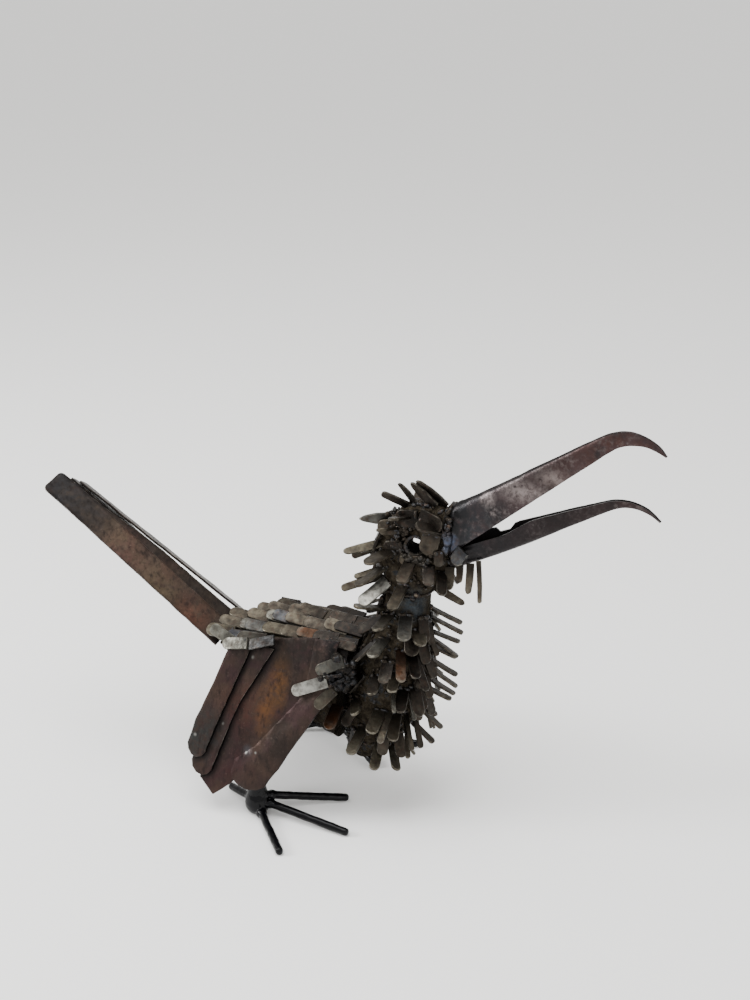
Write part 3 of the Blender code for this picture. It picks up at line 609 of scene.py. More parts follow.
def beaten(item, dent):
    """Move each vertex along its normal by a function of its place, in millimetres."""
    moves = [vertex.normal * MM * dent(vertex.co) for vertex in item.data.vertices]
    for vertex, move in zip(item.data.vertices, moves):
        vertex.co += move
    return item


def mesh_piece(name, points, faces):
    """Make an object from points in metres and faces."""
    mesh = bpy.data.meshes.new(name)
    mesh.from_pydata(points, [], faces)
    item = bpy.data.objects.new(name, mesh)
    bpy.context.scene.collection.objects.link(item)
    return item


def ride_on(item, domain, **numbers):
    """Let rows of numbers ride on a mesh's faces or points, for the finish to read."""
    for title, values in numbers.items():
        item.data.attributes.new(title, "FLOAT", domain).data.foreach_set("value", values)
    return item


def joined(name, items):
    """Join several objects into one."""
    bpy.ops.object.select_all(action="DESELECT")
    for item in items:
        item.select_set(True)
    bpy.context.view_layer.objects.active = items[0]
    bpy.ops.object.join()
    items[0].name = items[0].data.name = name
    return items[0]


print("bench ready")

# %% [markdown]
# ## The offcut
#
# A small feather is an offcut of flat bar, 10 mm wide and 2.5 mm thick, with one end
# ground round. One is made from a cube: its far upright edges are bevelled until they
# almost meet in a half circle, it is bisected across so that it can bow, and its rims get
# a small bevel, because a ground edge catches the light. Every feather is a copy of its
# points, stretched to its own length and width, then bowed and dented a little.

# %% Make one offcut
BAR_LENGTH, BAR_WIDTH, BAR_THICK = 28.0, 10.0, 2.5
# where it is cut across so that it can bow, the bevel of its rims, and how worn those are
BAR_CUTS, BAR_RIM, RIM_WEAR = (7.0, 15.0), 0.45, 0.45

half_way = (0.5 * BAR_LENGTH * MM, 0.0, 0.0)
bar = fresh(bpy.ops.mesh.primitive_cube_add, "offcut", size=1.0, location=half_way)
bar.scale = (BAR_LENGTH * MM, BAR_WIDTH * MM, BAR_THICK * MM)
settle(bar)
bpy.ops.object.mode_set(mode="EDIT")
bpy.ops.mesh.select_mode(type="EDGE")
bpy.ops.mesh.select_all(action="DESELECT")
shape = bmesh.from_edit_mesh(bar.data)
for edge in shape.edges:
    first, second = (vertex.co for vertex in edge.verts)
    at_end = min(first.x, second.x) > 0.9 * BAR_LENGTH * MM
    edge.select_set(at_end and abs(first.z - second.z) > 0.5 * BAR_THICK * MM)
bmesh.update_edit_mesh(bar.data)
bpy.ops.mesh.bevel(offset=0.48 * BAR_WIDTH * MM, segments=4, affect="EDGES")
for cut in BAR_CUTS:
    bpy.ops.mesh.select_all(action="SELECT")
    bpy.ops.mesh.bisect(plane_co=(cut * MM, 0.0, 0.0), plane_no=(1.0, 0.0, 0.0))
bpy.ops.object.mode_set(mode="OBJECT")
eased(bar, BAR_RIM)
BAR_POINTS = [vertex.co / MM for vertex in bar.data.vertices]
BAR_FACES = [tuple(face.vertices) for face in bar.data.polygons]
# a cut rim is worn most round the free end, and the broad faces not at all
BAR_WEAR = [
    0.0 if abs(face.normal.z) > 0.95 else 1.0 if face.center.x > 0.8 * BAR_LENGTH * MM else RIM_WEAR
    for face in bar.data.polygons
]
bpy.data.objects.remove(bar, do_unlink=True)
print("one offcut has", len(BAR_FACES), "faces")

# %% [markdown]
# ### Where an offcut sits
#
# A feather is known by its root, the way it runs, the way its broad side faces, and its
# size. `tone` picks its colour from the list of tones, and `rub` says how bright its end
# and rims have been rubbed.

# %% One feather's place
OFFCUT_WIDTH = 9.6
# how far a root is sunk in the shell
ROOT_DEPTH = 2.5
# the broad side of one on a shell looks up by this many degrees
FACE_DROP = -60.0


class Feather:
    """One offcut of flat bar in its place, in millimetres from the datum."""

    def __init__(self, root, along, face, length, width, bend=0.0, tone=0.3, rub=1.0, taper=0.0):
        self.root = Vector(root)
        self.along = along.normalized()
        self.face = (face - self.along * face.dot(self.along)).normalized()
        self.length, self.width, self.bend, self.taper = length, width, bend, taper
        self.tone, self.rub = tone, rub

    def mirrored(self):
        """The same offcut on the bird's other side."""
        flip = Vector((1.0, -1.0, 1.0))
        places = (self.root * flip, self.along * flip, self.face * flip)
        return Feather(*places, self.length, self.width, self.bend, self.tone, self.rub, self.taper)

    def points(self, dice):
        """The offcut's points, stretched, bowed, dented and set in place, in metres."""
        grow = self.width / BAR_WIDTH
        bar_straight = BAR_LENGTH - BAR_WIDTH / 2
        straight = self.length - self.width / 2
        bow = self.bend or dice.uniform(-0.10, 0.16)
        twist = dice.uniform(-0.10, 0.10)
        skew = dice.uniform(-0.6, 0.6)
        across = self.along.cross(self.face)
        placed_points = []
        for x, y, z in BAR_POINTS:
            if x < bar_straight:
                run = x * straight / bar_straight
            else:
                run = straight + (x - bar_straight) * grow
            share = run / self.length
            side = y * grow * (1.0 - self.taper * share**3) + skew * share * share
            side += dice.uniform(-0.12, 0.12)
            lift = z + 0.5 * bow * run * share + twist * share * side + dice.uniform(-0.08, 0.08)
            placed_points.append(placed(self.root + self.along * run + across * side + self.face * lift))
        return placed_points


def heading(azimuth, drop):
    """Direction at an azimuth from the beak, dropped below the level by an angle (degrees)."""
    a, d = math.radians(azimuth), math.radians(drop)
    return Vector((math.cos(a) * math.cos(d), math.sin(a) * math.cos(d), -math.sin(d)))


def on_shell(skin, azimuth, aim, drop, length, width=OFFCUT_WIDTH, roll=0.0, *, tone, rub):
    """A feather rooted in a shell, with its broad side turned up and outwards."""
    along = heading(aim, drop)
    root, face = skin - along * ROOT_DEPTH, heading(azimuth, FACE_DROP)
    feather = Feather(root, along, face, length + ROOT_DEPTH, width, tone=tone, rub=rub)
    feather.face.rotate(Matrix.Rotation(math.radians(roll), 3, feather.along))
    return feather


def coat(name, feathers, seed):
    """Make one piece of many feathers, with the numbers that steer their finish."""
    dice = random.Random(seed)
    points, faces, wear, tone, heat, dusk, worn = [], [], [], [], [], [], []
    for feather in feathers:
        start = len(points)
        points += feather.points(dice)
        faces += [tuple(start + corner for corner in face) for face in BAR_FACES]
        wear += [value * feather.rub for value in BAR_WEAR]
        tone += [feather.tone] * len(BAR_FACES)
        worn += [feather.rub * (x / BAR_LENGTH) ** 2 for x, _, _ in BAR_POINTS]
        reach = dice.uniform(0.25, 0.55)
        heat += [max(0.0, 1.0 - x / (BAR_LENGTH * reach)) for x, _, _ in BAR_POINTS]
        # a painted shadow on the root, where the next feather laps it
        dusk += [max(0.0, min(1.0, 3.0 * (0.62 - x / BAR_LENGTH))) for x, _, _ in BAR_POINTS]
    item = mesh_piece(name, points, faces)
    ride_on(item, "FACE", wear=wear, tone=tone)
    ride_on(item, "POINT", heat=heat, dusk=dusk, worn=worn)
    return smooth(item, 30.0)


print("feather helpers ready")

# %% [markdown]
# ## The body's three shells
#
# Under the feathers the bird is hollow sheet, beaten to shape: a torso from the rump to
# the chest, a breast that is also the neck, and a flat-sided head. Each shell starts as a
# cylinder that is bisected into rings, and each ring is then moved out to its section.
# Little of a shell shows between the feathers, but what does is uneven, as beaten metal is.

# %% Stations and sections


def between(stations, position):
    """Read rows of (position, values...) at a position, with straight runs between."""
    for low, high in zip(stations, stations[1:]):
        if position <= high[0] or high is stations[-1]:
            share = (position - low[0]) / (high[0] - low[0])
            return [a + (b - a) * share for a, b in zip(low[1:], high[1:])]


def rounded(angle, power):
    """Point of a squared circle at an angle: power 2 is round, and higher is squarer."""
    c, s = math.cos(angle), math.sin(angle)
    grow = (abs(c) ** power + abs(s) ** power) ** (-1.0 / power)
    return c * grow, s * grow


# torso stations along X: top, widest height, bottom, half width
TORSO = (
    (-58.0, 142.0, 135.0, 121.0, 26.0),
    (-38.0, 144.0, 136.0, 104.0, 34.0),
    (-12.0, 147.5, 138.0, 84.0, 38.0),
    (14.0, 149.0, 138.0, 66.0, 38.5),
    (38.0, 150.0, 138.0, 56.0, 38.5),
    (58.0, 149.0, 137.0, 47.0, 37.5),
)
# the rump's end leans as the tail rises, and the chest's end leans less
TAIL_RISE = math.radians(34.2)
RUMP_SHEAR = math.tan(TAIL_RISE)
CHEST_SHEAR = 0.185
SHEAR_HEIGHT = 100.0
RUMP_LENGTH = 60.0
# breast stations up Z: middle X, half length, half width
BREAST = (
    (36.0, 70.0, 10.0, 12.0),
    (50.0, 76.0, 21.0, 25.0),
    (70.0, 82.0, 27.5, 32.0),
    (92.0, 88.0, 33.0, 36.0),
    (116.0, 93.0, 35.0, 36.0),
    (140.0, 97.0, 31.0, 32.0),
    (160.0, 101.0, 27.0, 26.0),
    (176.0, 105.0, 23.0, 21.0),
    (190.0, 108.0, 20.0, 18.0),
    (203.0, 109.0, 19.5, 17.0),
)
# head stations up Z: middle X, half length, half width
HEAD = (
    (203.4, 109.5, 19.5, 16.5),
    (214.0, 111.5, 25.0, 15.0),
    (225.0, 113.0, 31.0, 13.0),
    (237.0, 114.5, 34.0, 11.0),
    (250.0, 116.0, 33.0, 10.3),
    (261.0, 118.0, 31.0, 10.3),
    (271.0, 121.0, 26.0, 9.6),
    (279.0, 126.0, 18.0, 7.5),
    (283.0, 129.0, 9.0, 4.0),
)
# the beak's root closes the head in a flat face, and the breast starts just off the torso
FACE_PLANE = 147.0
SEAM = 0.35
# how square each section is
BACK_POWER, BELLY_POWER, BREAST_POWER, HEAD_POWER = 3.2, 2.3, 2.2, 2.6


def torso_point(x, angle):
    """Point of the torso: angle 0 is the bird's left side, and 90 degrees is the back."""
    top, middle, bottom, half = between(TORSO, x)
    side, rise = rounded(angle, BACK_POWER if math.sin(angle) > 0 else BELLY_POWER)
    z = middle + rise * ((top - middle) if rise > 0 else (middle - bottom))
    share = min(1.0, max(0.0, (x - TORSO[0][0]) / RUMP_LENGTH))
    shear = RUMP_SHEAR + (CHEST_SHEAR - RUMP_SHEAR) * share
    lean_from = SHEAR_HEIGHT + (middle - SHEAR_HEIGHT) * (1 - share)
    return Vector((x + shear * (z - lean_from), half * side, z))


def breast_point(z, angle):
    """Point of the breast: angle 0 is the front, and -90 degrees is the bird's right."""
    middle, length, width = between(BREAST, z)
    fore, side = rounded(angle, BREAST_POWER)
    chest = TORSO[-1][0] + CHEST_SHEAR * (z - SHEAR_HEIGHT)
    return Vector((max(middle + length * fore, chest + SEAM), width * side, z))


def head_point(z, angle):
    """Point of the head: angle 0 is the front, and -90 degrees is the bird's right."""
    middle, length, width = between(HEAD, z)
    fore, side = rounded(angle, HEAD_POWER)
    return Vector((min(middle + length * fore, FACE_PLANE), width * side, z))


print("the neck is", round(2 * BREAST[-1][3]), "mm wide, and the breast", round(2 * BREAST[4][3]))

# %% Beat a shell from a cylinder


def beaten_shell(name, section, first, last, rings, sides=40, inset=0.6, dent=0.9):
    """Bisect a cylinder into rings and move each vertex to its section, then beat it."""
    cylinder = {"vertices": sides, "radius": 1.0, "depth": 1.0, "location": (0.0, 0.0, 0.5)}
    item = settle(fresh(bpy.ops.mesh.primitive_cylinder_add, name, **cylinder))
    bpy.ops.object.mode_set(mode="EDIT")
    for ring in range(1, rings):
        bpy.ops.mesh.select_all(action="SELECT")
        bpy.ops.mesh.bisect(plane_co=(0.0, 0.0, ring / rings), plane_no=(0.0, 0.0, 1.0))
    bpy.ops.object.mode_set(mode="OBJECT")
    move_points(item, lambda co: placed(section(first + (last - first) * co.z, math.atan2(co.y, co.x))))
    outwards(item)
    modify(item, "SMOOTH", factor=0.5, iterations=2)
    return smooth(beaten(item, lambda co: dent * ripple(co, 11.0, 3.0) - inset), 60.0)


torso = beaten_shell("torso_shell", torso_point, TORSO[0][0], TORSO[-1][0], 20)
breast = beaten_shell("breast_shell", breast_point, BREAST[0][0], BREAST[-1][0], 26)
head = beaten_shell("head_shell", head_point, HEAD[0][0], HEAD[-1][0], 18, 48)
print("faces of the shells:", [len(shell.data.polygons) for shell in (torso, breast, head)])

# %% [markdown]
# ### The eye
#
# The eye is a hole bored right through the head, with a rim of weld round it. The bore
# runs a little backwards from right to left. A cylinder and a Boolean make the hole, as a
# drill would. The drill is longer than the head is wide.

# %% Bore the eye
EYE_RADIUS, DRILL_LENGTH = 6.8, 60.0
EYE_AXIS = Vector((-0.30, 0.95, 0.0)).normalized()

drill = fresh(
    bpy.ops.mesh.primitive_cylinder_add,
    "drill",
    vertices=32,
    radius=EYE_RADIUS * MM,
    depth=DRILL_LENGTH * MM,
    location=placed(EYE),
    rotation=EYE_AXIS.to_track_quat("Z", "Y").to_euler(),
)
modify(head, "BOOLEAN", operation="DIFFERENCE", solver="EXACT", object=drill)
bpy.data.objects.remove(drill, do_unlink=True)
smooth(head, 40.0)
print("head after the bore:", len(head.data.polygons), "faces")

# %% [markdown]
# ## The sheet strips of wings and tail
#
# The long strips are flat in the CAD model. On the bird they were cut by torch and
# flattened by hammer, so their faces are wavy and their edges run unevenly. Each is a copy
# of its CAD node: its triangles are merged and dissolved to flat faces, bisected into a
# fine grid, and moved by one field of noise. All strips of a wing share the field, so the
# gap between them stays open. A small bevel then gives the edges their bright line.

# %% Beat a strip
WING_LEAN = math.radians(21.0)
EDGE_BEVEL = 0.4


def ramp_between(value, start, end):
    """0 before start, 1 after end, and a smooth rise between; it falls if end is first."""
    share = min(1.0, max(0.0, (value - start) / (end - start)))
    return share * share * (3.0 - 2.0 * share)


def flat_normal(mesh):
    """Normal of a plate's broad side: the sum of the largest faces that agree."""
    largest = max(mesh.polygons, key=lambda face: face.area)
    total = Vector()
    for face in mesh.polygons:
        if abs(face.normal.dot(largest.normal)) > 0.98:
            total += face.normal * face.area * (1 if face.normal.dot(largest.normal) > 0 else -1)
    return total.normalized()


def hammered_strip(node, name, along, shade=0.0, rubbed=1.0, grid_mm=4.0, wave=0.7, ragged=0.45):
    """Copy a strip, grid it and beat it: `along` is its run, and `rubbed` is for its arrises."""
    item = bpy.data.objects.new(name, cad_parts[node].data.copy())
    bpy.context.scene.collection.objects.link(item)
    item.data.name = name
    outwards(item)
    broad = flat_normal(item.data)
    along = (along - broad * along.dot(broad)).normalized()
    across = broad.cross(along)
    bpy.ops.object.mode_set(mode="EDIT")
    bpy.ops.mesh.select_all(action="SELECT")
    bpy.ops.mesh.dissolve_limited(angle_limit=math.radians(1.0))
    for axis in (along, across):
        places = [axis.dot(vertex.co) for vertex in bmesh.from_edit_mesh(item.data).verts]
        steps = max(2, round((max(places) - min(places)) / (grid_mm * MM)))
        for step in range(1, steps):
            level = min(places) + (max(places) - min(places)) * step / steps
            bpy.ops.mesh.select_all(action="SELECT")
            bpy.ops.mesh.bisect(plane_co=axis * level, plane_no=axis)
    bpy.ops.object.mode_set(mode="OBJECT")
    edge_points = set()
    for face in item.data.polygons:
        if abs(face.normal.dot(broad)) < 0.5:
            edge_points.update(face.vertices)
    # broad and small hammer marks on the faces, and ragged edges
    for vertex in item.data.vertices:
        spot = vertex.co - broad * vertex.co.dot(broad)
        move = broad * wave * (0.75 * ripple(spot, 36.0, 5.0) + 0.45 * ripple(spot, 14.0, 9.0))
        if vertex.index in edge_points:
            move += across * ragged * ripple(spot, 9.0, 2.0) + along * ragged * ripple(spot, 9.0, 7.0)
        vertex.co += move * MM
    eased(item, EDGE_BEVEL)
    # the sawn side of a strip is painted in shade, and only its two arrises are rubbed bright;
    # an arris that is hardly rubbed is painted in shade as well
    facing = [abs(face.normal.dot(broad)) for face in item.data.polygons]
    wear = [rubbed if 0.3 < turned < 0.93 else 0.0 for turned in facing]
    arris_shade = max(shade, 0.9 - rubbed)
    shades = [0.9 if turned <= 0.3 else arris_shade if turned < 0.93 else shade for turned in facing]
    ride_on(item, "FACE", wear=wear, shade=shades)
    return smooth(item, 35.0)


def drawn_out(item, towards, reach, by):
    """Draw one side of a strip out: only the last `reach` of it moves, by a rule, in mm."""
    end = max(towards.dot(vertex.co) for vertex in item.data.vertices)
    for vertex in item.data.vertices:
        share = 1.0 - (end - towards.dot(vertex.co)) / (reach * MM)
        if share > 0.0:
            vertex.co += towards * by((vertex.co - DATUM) / MM) * share * MM
    return item


def laid_flush(item, out, behind, reach, by, row_mm=4.0):
    """Beat the rear rim of a strip in, so that it lies flush with the one it laps."""
    rows = [round(WING_DOWN.dot(vertex.co) / (row_mm * MM)) for vertex in item.data.vertices]
    rear = {}
    for row, vertex in zip(rows, item.data.vertices):
        rear[row] = max(rear.get(row, -1.0), behind.dot(vertex.co))
    for row, vertex in zip(rows, item.data.vertices):
        gap = (rear[row] - behind.dot(vertex.co)) / MM
        vertex.co -= out * by * ramp_between(gap, reach, 0.0) * MM
    return item


def surface_of(item):
    """A tree of an object's faces, to measure from or to test against."""
    mesh = item.data
    return BVHTree.FromPolygons([v.co for v in mesh.vertices], [face.vertices for face in mesh.polygons])


def sooted(under, over, reach=6.5):
    """Paint a shadow on a strip where the one above it ends."""
    surface = surface_of(over)
    gaps = [surface.find_nearest(vertex.co)[3] / MM for vertex in under.data.vertices]
    ride_on(under, "POINT", soot=[max(0.0, 1.0 - gap / reach) for gap in gaps])


print("strip helpers ready")

# %% Wings
WING_DOWN = Vector((-0.30, 0.0, -0.93))
WING_UP = Vector((0.0, math.sin(WING_LEAN), math.cos(WING_LEAN)))
WING_BEHIND = Vector((-0.93, 0.0, 0.30))
# the right wing's two front strips reach up over the edge of the back: by how much at the
# datum, and how much more for each millimetre ahead of it; only their last stretch is drawn
WING_RISE = {3: (9.0, 0.19), 4: (9.0, 0.11)}
WING_DRAWN = 30.0
# how wide the rear rim of the front strip is that is beaten in, and how far in
LAP_WIDTH, LAP_DEPTH = 16.0, 2.3
wing_strips = []
for side in ("right", "left"):
    for number in (1, 2, 3, 4):
        node = "wing_%s_feather_%d" % (side, number)
        # the front strip's arrises are hardly rubbed, so they are painted in shade
        strip = hammered_strip(node, node + "_sheet", WING_DOWN, rubbed=0.15 if number == 4 else 1.0)
        if side == "right" and number in WING_RISE:
            level, climb = WING_RISE[number]
            drawn_out(strip, WING_UP, WING_DRAWN, lambda place: level + climb * place.x)
        if number == 4:
            sideways = -1.0 if side == "right" else 1.0
            out = Vector((0.0, sideways * math.cos(WING_LEAN), math.sin(WING_LEAN)))
            laid_flush(strip, out, WING_BEHIND, LAP_WIDTH, LAP_DEPTH)
        # the shadow of the strip above is painted on these two
        if number in (2, 3):
            sooted(strip, wing_strips[-1])
        wing_strips.append(dress(strip, WING_SHEET, "rusted_sheet_steel", node))
print("beaten strips on the wings:", len(wing_strips))

# %% Tail
# the strips run back along TAIL_RUN, and lean together like a roof's two sides
TAIL_ROOF = math.radians(33.0)
TAIL_RUN = Vector((-math.cos(TAIL_RISE), 0.0, math.sin(TAIL_RISE)))
TAIL_TOP = Vector((math.sin(TAIL_RISE), 0.0, math.cos(TAIL_RISE)))
TAIL_UP = Vector((0.0, math.cos(TAIL_ROOF), 0.0)) + math.sin(TAIL_ROOF) * TAIL_TOP
# the second strip's upper edge stands out above the one that laps it, and less at the tip
TAIL_DRAWN, TAIL_LIFT, LIFT_RUN = 14.0, 6.5, (-215.0, -130.0)
# the first strip darkens towards its tip
TIP_SHADE, TIP_RUN = 0.7, (-165.0, -200.0)
tail_strips = []
for number in (1, 2, 3, 4):
    node = "tail_feather_%d" % number
    # the second strip lies under the first, and its face is painted in shade
    strip = hammered_strip(node, node + "_sheet", TAIL_RUN, shade=0.7 if number == 2 else 0.1)
    if number == 2:
        drawn_out(strip, TAIL_UP, TAIL_DRAWN, lambda place: TAIL_LIFT * ramp_between(place.x, *LIFT_RUN))
    if number == 1:
        for face, shade in zip(strip.data.polygons, strip.data.attributes["shade"].data):
            behind = (face.center.x - DATUM.x) / MM
            shade.value = max(shade.value, TIP_SHADE * ramp_between(behind, *TIP_RUN))
    tail_strips.append(dress(strip, TAIL_SHEET, "rusted_sheet_steel", node))
print("beaten strips in the tail:", len(tail_strips))

# %% [markdown]
# ## The beak
#
# Both halves of the beak are a folded sheet, open below on the upper half and above on
# the lower one, and they close to a solid point. A copy of each CAD node is merged, its
# triangles are joined to quads, and its sharp rims are creased, so that Subdivision
# Surface rounds the sheet but leaves the rims square.

# %% Smooth and beat the beak
# where the beak starts, how high its lower half's middle line is there, and how it rises
BEAK_ROOT, LOWER_MIDDLE = 147.35, 239.7
LOWER_RISE = math.radians(27.0)
HALF_DEPTH = 9.0
# the right edge of the trough is lowered towards the root, and its left one is notched
EDGE_DROP, EDGE_RUN = 6.5, (218.0, 188.0)
NOTCH_DEPTH, NOTCH_EASE, NOTCH = 5.0, 2.0, (183.0, 197.0)
# the ridge is painted in shade where it faces up, and the lower half darkens towards the
# root, from the first place in ROOT_RUN to the second
RIDGE_SHADE, RIDGE_TURN, ROOT_RUN = 0.8, (0.36, 0.60), (330.0, 240.0)
# its inside is told from its outside in slices this long
SLICE = 8.0


def mouth_edge(point):
    """Lower the trough's right edge near its root, and notch its left edge, as on the bird."""
    x, y, z = (point - DATUM) / MM
    middle = LOWER_MIDDLE + (x - BEAK_ROOT) * math.tan(LOWER_RISE)
    high = min(1.0, max(0.0, (z - middle) / HALF_DEPTH))
    if y < 0.0:
        drop = EDGE_DROP * ramp_between(x, *EDGE_RUN)
    else:
        drop = NOTCH_DEPTH * ramp_between(x, NOTCH[0] - 1.0, NOTCH[0] + NOTCH_EASE)
        drop *= ramp_between(x, NOTCH[1] + NOTCH_EASE, NOTCH[1])
    return point - Vector((0.0, 0.0, drop * high * MM))


def beaten_beak(node, name, mover=None, dark=0.0, wave=0.45):
    """Copy a beak half, round it, and beat it; `dark` is the shade of its root."""
    item = bpy.data.objects.new(name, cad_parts[node].data.copy())
    bpy.context.scene.collection.objects.link(item)
    item.data.name = name
    outwards(item)
    bpy.ops.object.mode_set(mode="EDIT")
    bpy.ops.mesh.select_all(action="SELECT")
    flat_enough = math.radians(60)
    bpy.ops.mesh.tris_convert_to_quads(face_threshold=flat_enough, shape_threshold=flat_enough)
    shape = bmesh.from_edit_mesh(item.data)
    crease = shape.edges.layers.float.new("crease_edge")
    for edge in shape.edges:
        rim = len(edge.link_faces) == 2 and edge.calc_face_angle() > math.radians(55)
        edge[crease] = 1.0 if rim else 0.0
    bmesh.update_edit_mesh(item.data)
    bpy.ops.object.mode_set(mode="OBJECT")
    modify(item, "SUBSURF", levels=3, render_levels=3)
    if mover:
        move_points(item, mover)
    # a face that looks towards the middle of its slice is on the inside, painted black as shade
    heights = {}
    for vertex in item.data.vertices:
        heights.setdefault(round(vertex.co.x / (SLICE * MM)), []).append(vertex.co.z)
    inside = []
    for face in item.data.polygons:
        row = heights.get(round(face.center.x / (SLICE * MM))) or [face.center.z]
        out = Vector((0.0, face.center.y, face.center.z - (min(row) + max(row)) / 2))
        place = (face.center.x - DATUM.x) / MM
        ridge = RIDGE_SHADE * ramp_between(face.normal.z, *RIDGE_TURN)
        skin = max(ridge, dark * ramp_between(place, *ROOT_RUN))
        inside.append(1.0 if face.normal.dot(out) < 0.0 else skin)
    beaten(item, lambda co: wave * (0.7 * ripple(co, 17.0, 4.0) + 0.4 * ripple(co, 6.0, 8.0)))
    return smooth(ride_on(item, "FACE", shade=inside), 45.0)


upper_beak = beaten_beak("beak_upper", "beak_upper_sheet")
lower_beak = beaten_beak("beak_lower", "beak_lower_sheet", mouth_edge, dark=0.8)
dress(upper_beak, BEAK_SHEET, "burnished_beak_steel", "beak_upper")
dress(lower_beak, BEAK_SHEET, "burnished_beak_steel", "beak_lower")
print("beak faces:", len(upper_beak.data.polygons), len(lower_beak.data.polygons))

# %% [markdown]
# ## The coat of feathers
#
# The breast's offcuts stand off like ruffled feathers, steeper towards the belly. Those on
# the back lie flat in courses, as roof scales do, and point to the tail. The ones that
# make the outline are listed one by one, and each one's last number is its tone. The rest
# are laid in rows with a little chance, and the chance is seeded, so that every run is alike.

# %% Feathers listed one by one
# on the bird's right side, and mirrored on its left: height, place round the shell (0 is
# the front, -90 the right side), heading, drop, length, width and tone
BREAST_SIDE_FEATHERS = (
    (188, -128, -133, -13, 30, 8.0, 0.40),
    (184, -110, -90, 5, 28, 11.0, 0.42),
    (186, -70, -71, 20, 28, 11.5, 0.56),
    (164, -100, -90, 8, 28, 11.0, 0.60),
    (156, -64, -67, 26, 30, 8.5, 0.93),
    (152, -44, -59, 19, 28, 9.0, 0.02),
    (138, -64, -76, 12, 26, 9.0, 0.36),
    (132, -94, -73, 5, 26, 10.0, 0.20),
    (122, -50, -74, 16, 26, 10.0, 0.12),
    (106, -118, -66, -3, 28, 9.0, 0.40),
    (102, -76, -83, 19, 28, 11.0, 0.40),
    (98, -52, -74, 26, 28, 10.0, 0.30),
    (86, -28, -64, 27, 36, 4.0, 0.30),
    (82, -94, -90, 21, 32, 10.0, 0.41),
    (70, -60, -78, 26, 32, 9.0, 0.38),
    (54, -18, -62, 19, 30, 8.5, 0.40),
    (172, -36, -62, 20, 17, 12.0, 0.36),
    (164, -48, -66, 50, 13, 13.0, 0.08),
    (154, -42, -35, 50, 34, 7.0, 0.05),
    (122, -34, -52, 40, 26, 11.0, 0.14),
    (128, -66, -66, 34, 28, 3.5, 0.60),
    (120, -42, -50, 40, 26, 3.5, 0.56),
    (96, -36, -58, 38, 34, 4.0, 0.30),
    (94, -20, -50, 45, 32, 5.0, 0.16),
    (100, -62, -84, 30, 30, 6.0, 0.34),
    (146, -80, -80, 42, 20, 11.0, 0.06),
)
# the row down the middle of the breast, which is its front outline
BREAST_FRONT_FEATHERS = (
    (186, 16, 12, 27, 29, 5.0, 0.16),
    (177, 16, 12, 24, 30, 5.0, 0.20),
    (164, 14, 15, 22, 26, 5.0, 0.15),
    (157, 14, 12, 31, 28, 5.0, 0.13),
    (150, 14, 14, 26, 24, 6.0, 0.18),
    (136, 14, 10, 34, 26, 6.0, 0.20),
    (126, 14, 12, 31, 27, 5.0, 0.22),
    (116, 14, 11, 34, 24, 6.0, 0.14),
    (108, 12, 12, 29, 22, 6.0, 0.24),
    (98, 8, -7, 52, 18, 5.0, 0.16),
    (89, 8, 1, 45, 26, 6.0, 0.18),
    (76, 2, 2, 43, 27, 6.0, 0.15),
)
HEAD_SIDE_FEATHERS = (
    (271, -112, -102, -15, 24, 10.0, 0.22),
    (264, -48, -125, -22, 26, 10.0, 0.16),
    (259, -122, -98, -17, 24, 11.0, 0.30),
    (239, -120, -125, 15, 26, 13.0, 0.32),
    (252, -30, -124, -8, 23, 11.0, 0.20),
    (222, -136, -125, 24, 28, 10.0, 0.34),
    (233, -88, -92, 26, 23, 11.0, 0.24),
    (231, -60, -69, 40, 18, 10.0, 0.12),
    (226, -34, -66, 30, 22, 9.0, 0.10),
    (212, -92, -92, 30, 27, 10.0, 0.33),
)
# the ones that stand free: root, heading, drop, length, width, bend, taper and tone
CREST = (
    ((109.0, -3.0, 278.5), -167, -25, 24, 6.5, 0.0, 0.1, 0.12),
    ((114.0, -1.0, 280.5), 173, -56, 21, 5.5, 0.6, 0.7, 0.12),
    ((133.0, -4.0, 281.5), -176, -45, 28, 9.0, 0.2, 0.6, 0.12),
    ((140.5, 1.0, 281.0), -177, -45, 32, 8.0, 0.4, 0.6, 0.12),
    ((98.0, -3.0, 265.0), -157, -2, 30, 10.5, 0.1, 0.8, 0.56),
)
NAPE = (
    ((88.0, -3.0, 242.0), -150, 13, 35, 8.0, 0.1, 0.4, 0.40),
    ((87.0, 4.0, 238.0), -149, 20, 31, 6.0, 0.0, 0.1, 0.34),
    ((88.0, -2.0, 219.0), -150, 17, 27, 5.0, 0.0, 0.1, 0.38),
    ((88.0, -5.0, 213.0), -148, 15, 37, 7.0, 0.0, 0.1, 0.36),
    ((95.0, -12.0, 212.0), -125, 28, 31, 11.5, 0.0, 0.0, 0.75),
)
BEARD = (
    ((161.0, -11.5, 251.5), -167, 60, 15, 12.0, 0.0, 0.0, 0.50),
    ((165.0, -5.0, 238.0), -71, 66, 25, 6.5, 0.3, 0.3, 0.34),
    ((171.5, -4.0, 241.0), -54, 67, 34, 4.0, 0.4, 0.1, 0.30),
    ((156.0, -5.0, 235.0), -71, 67, 15, 6.0, 0.0, 0.3, 0.22),
    ((147.0, -4.0, 231.0), -71, 66, 19, 8.0, 0.0, 0.3, 0.30),
    ((130.0, 3.0, 208.0), 11, 30, 30, 7.0, 0.1, 0.3, 0.28),
)
# on a shoulder: root, heading, drop, length, width and tone
SHOULDER = (
    ((58.0, -53.5, 130.0), -169, 24, 34, 10.5, 0.79),
    ((70.0, -46.0, 148.0), -166, 27, 27, 10.5, 0.57),
)
by_hand = BREAST_SIDE_FEATHERS + BREAST_FRONT_FEATHERS + HEAD_SIDE_FEATHERS
print("set by hand:", len(by_hand), "and the mirrors of those on a side")

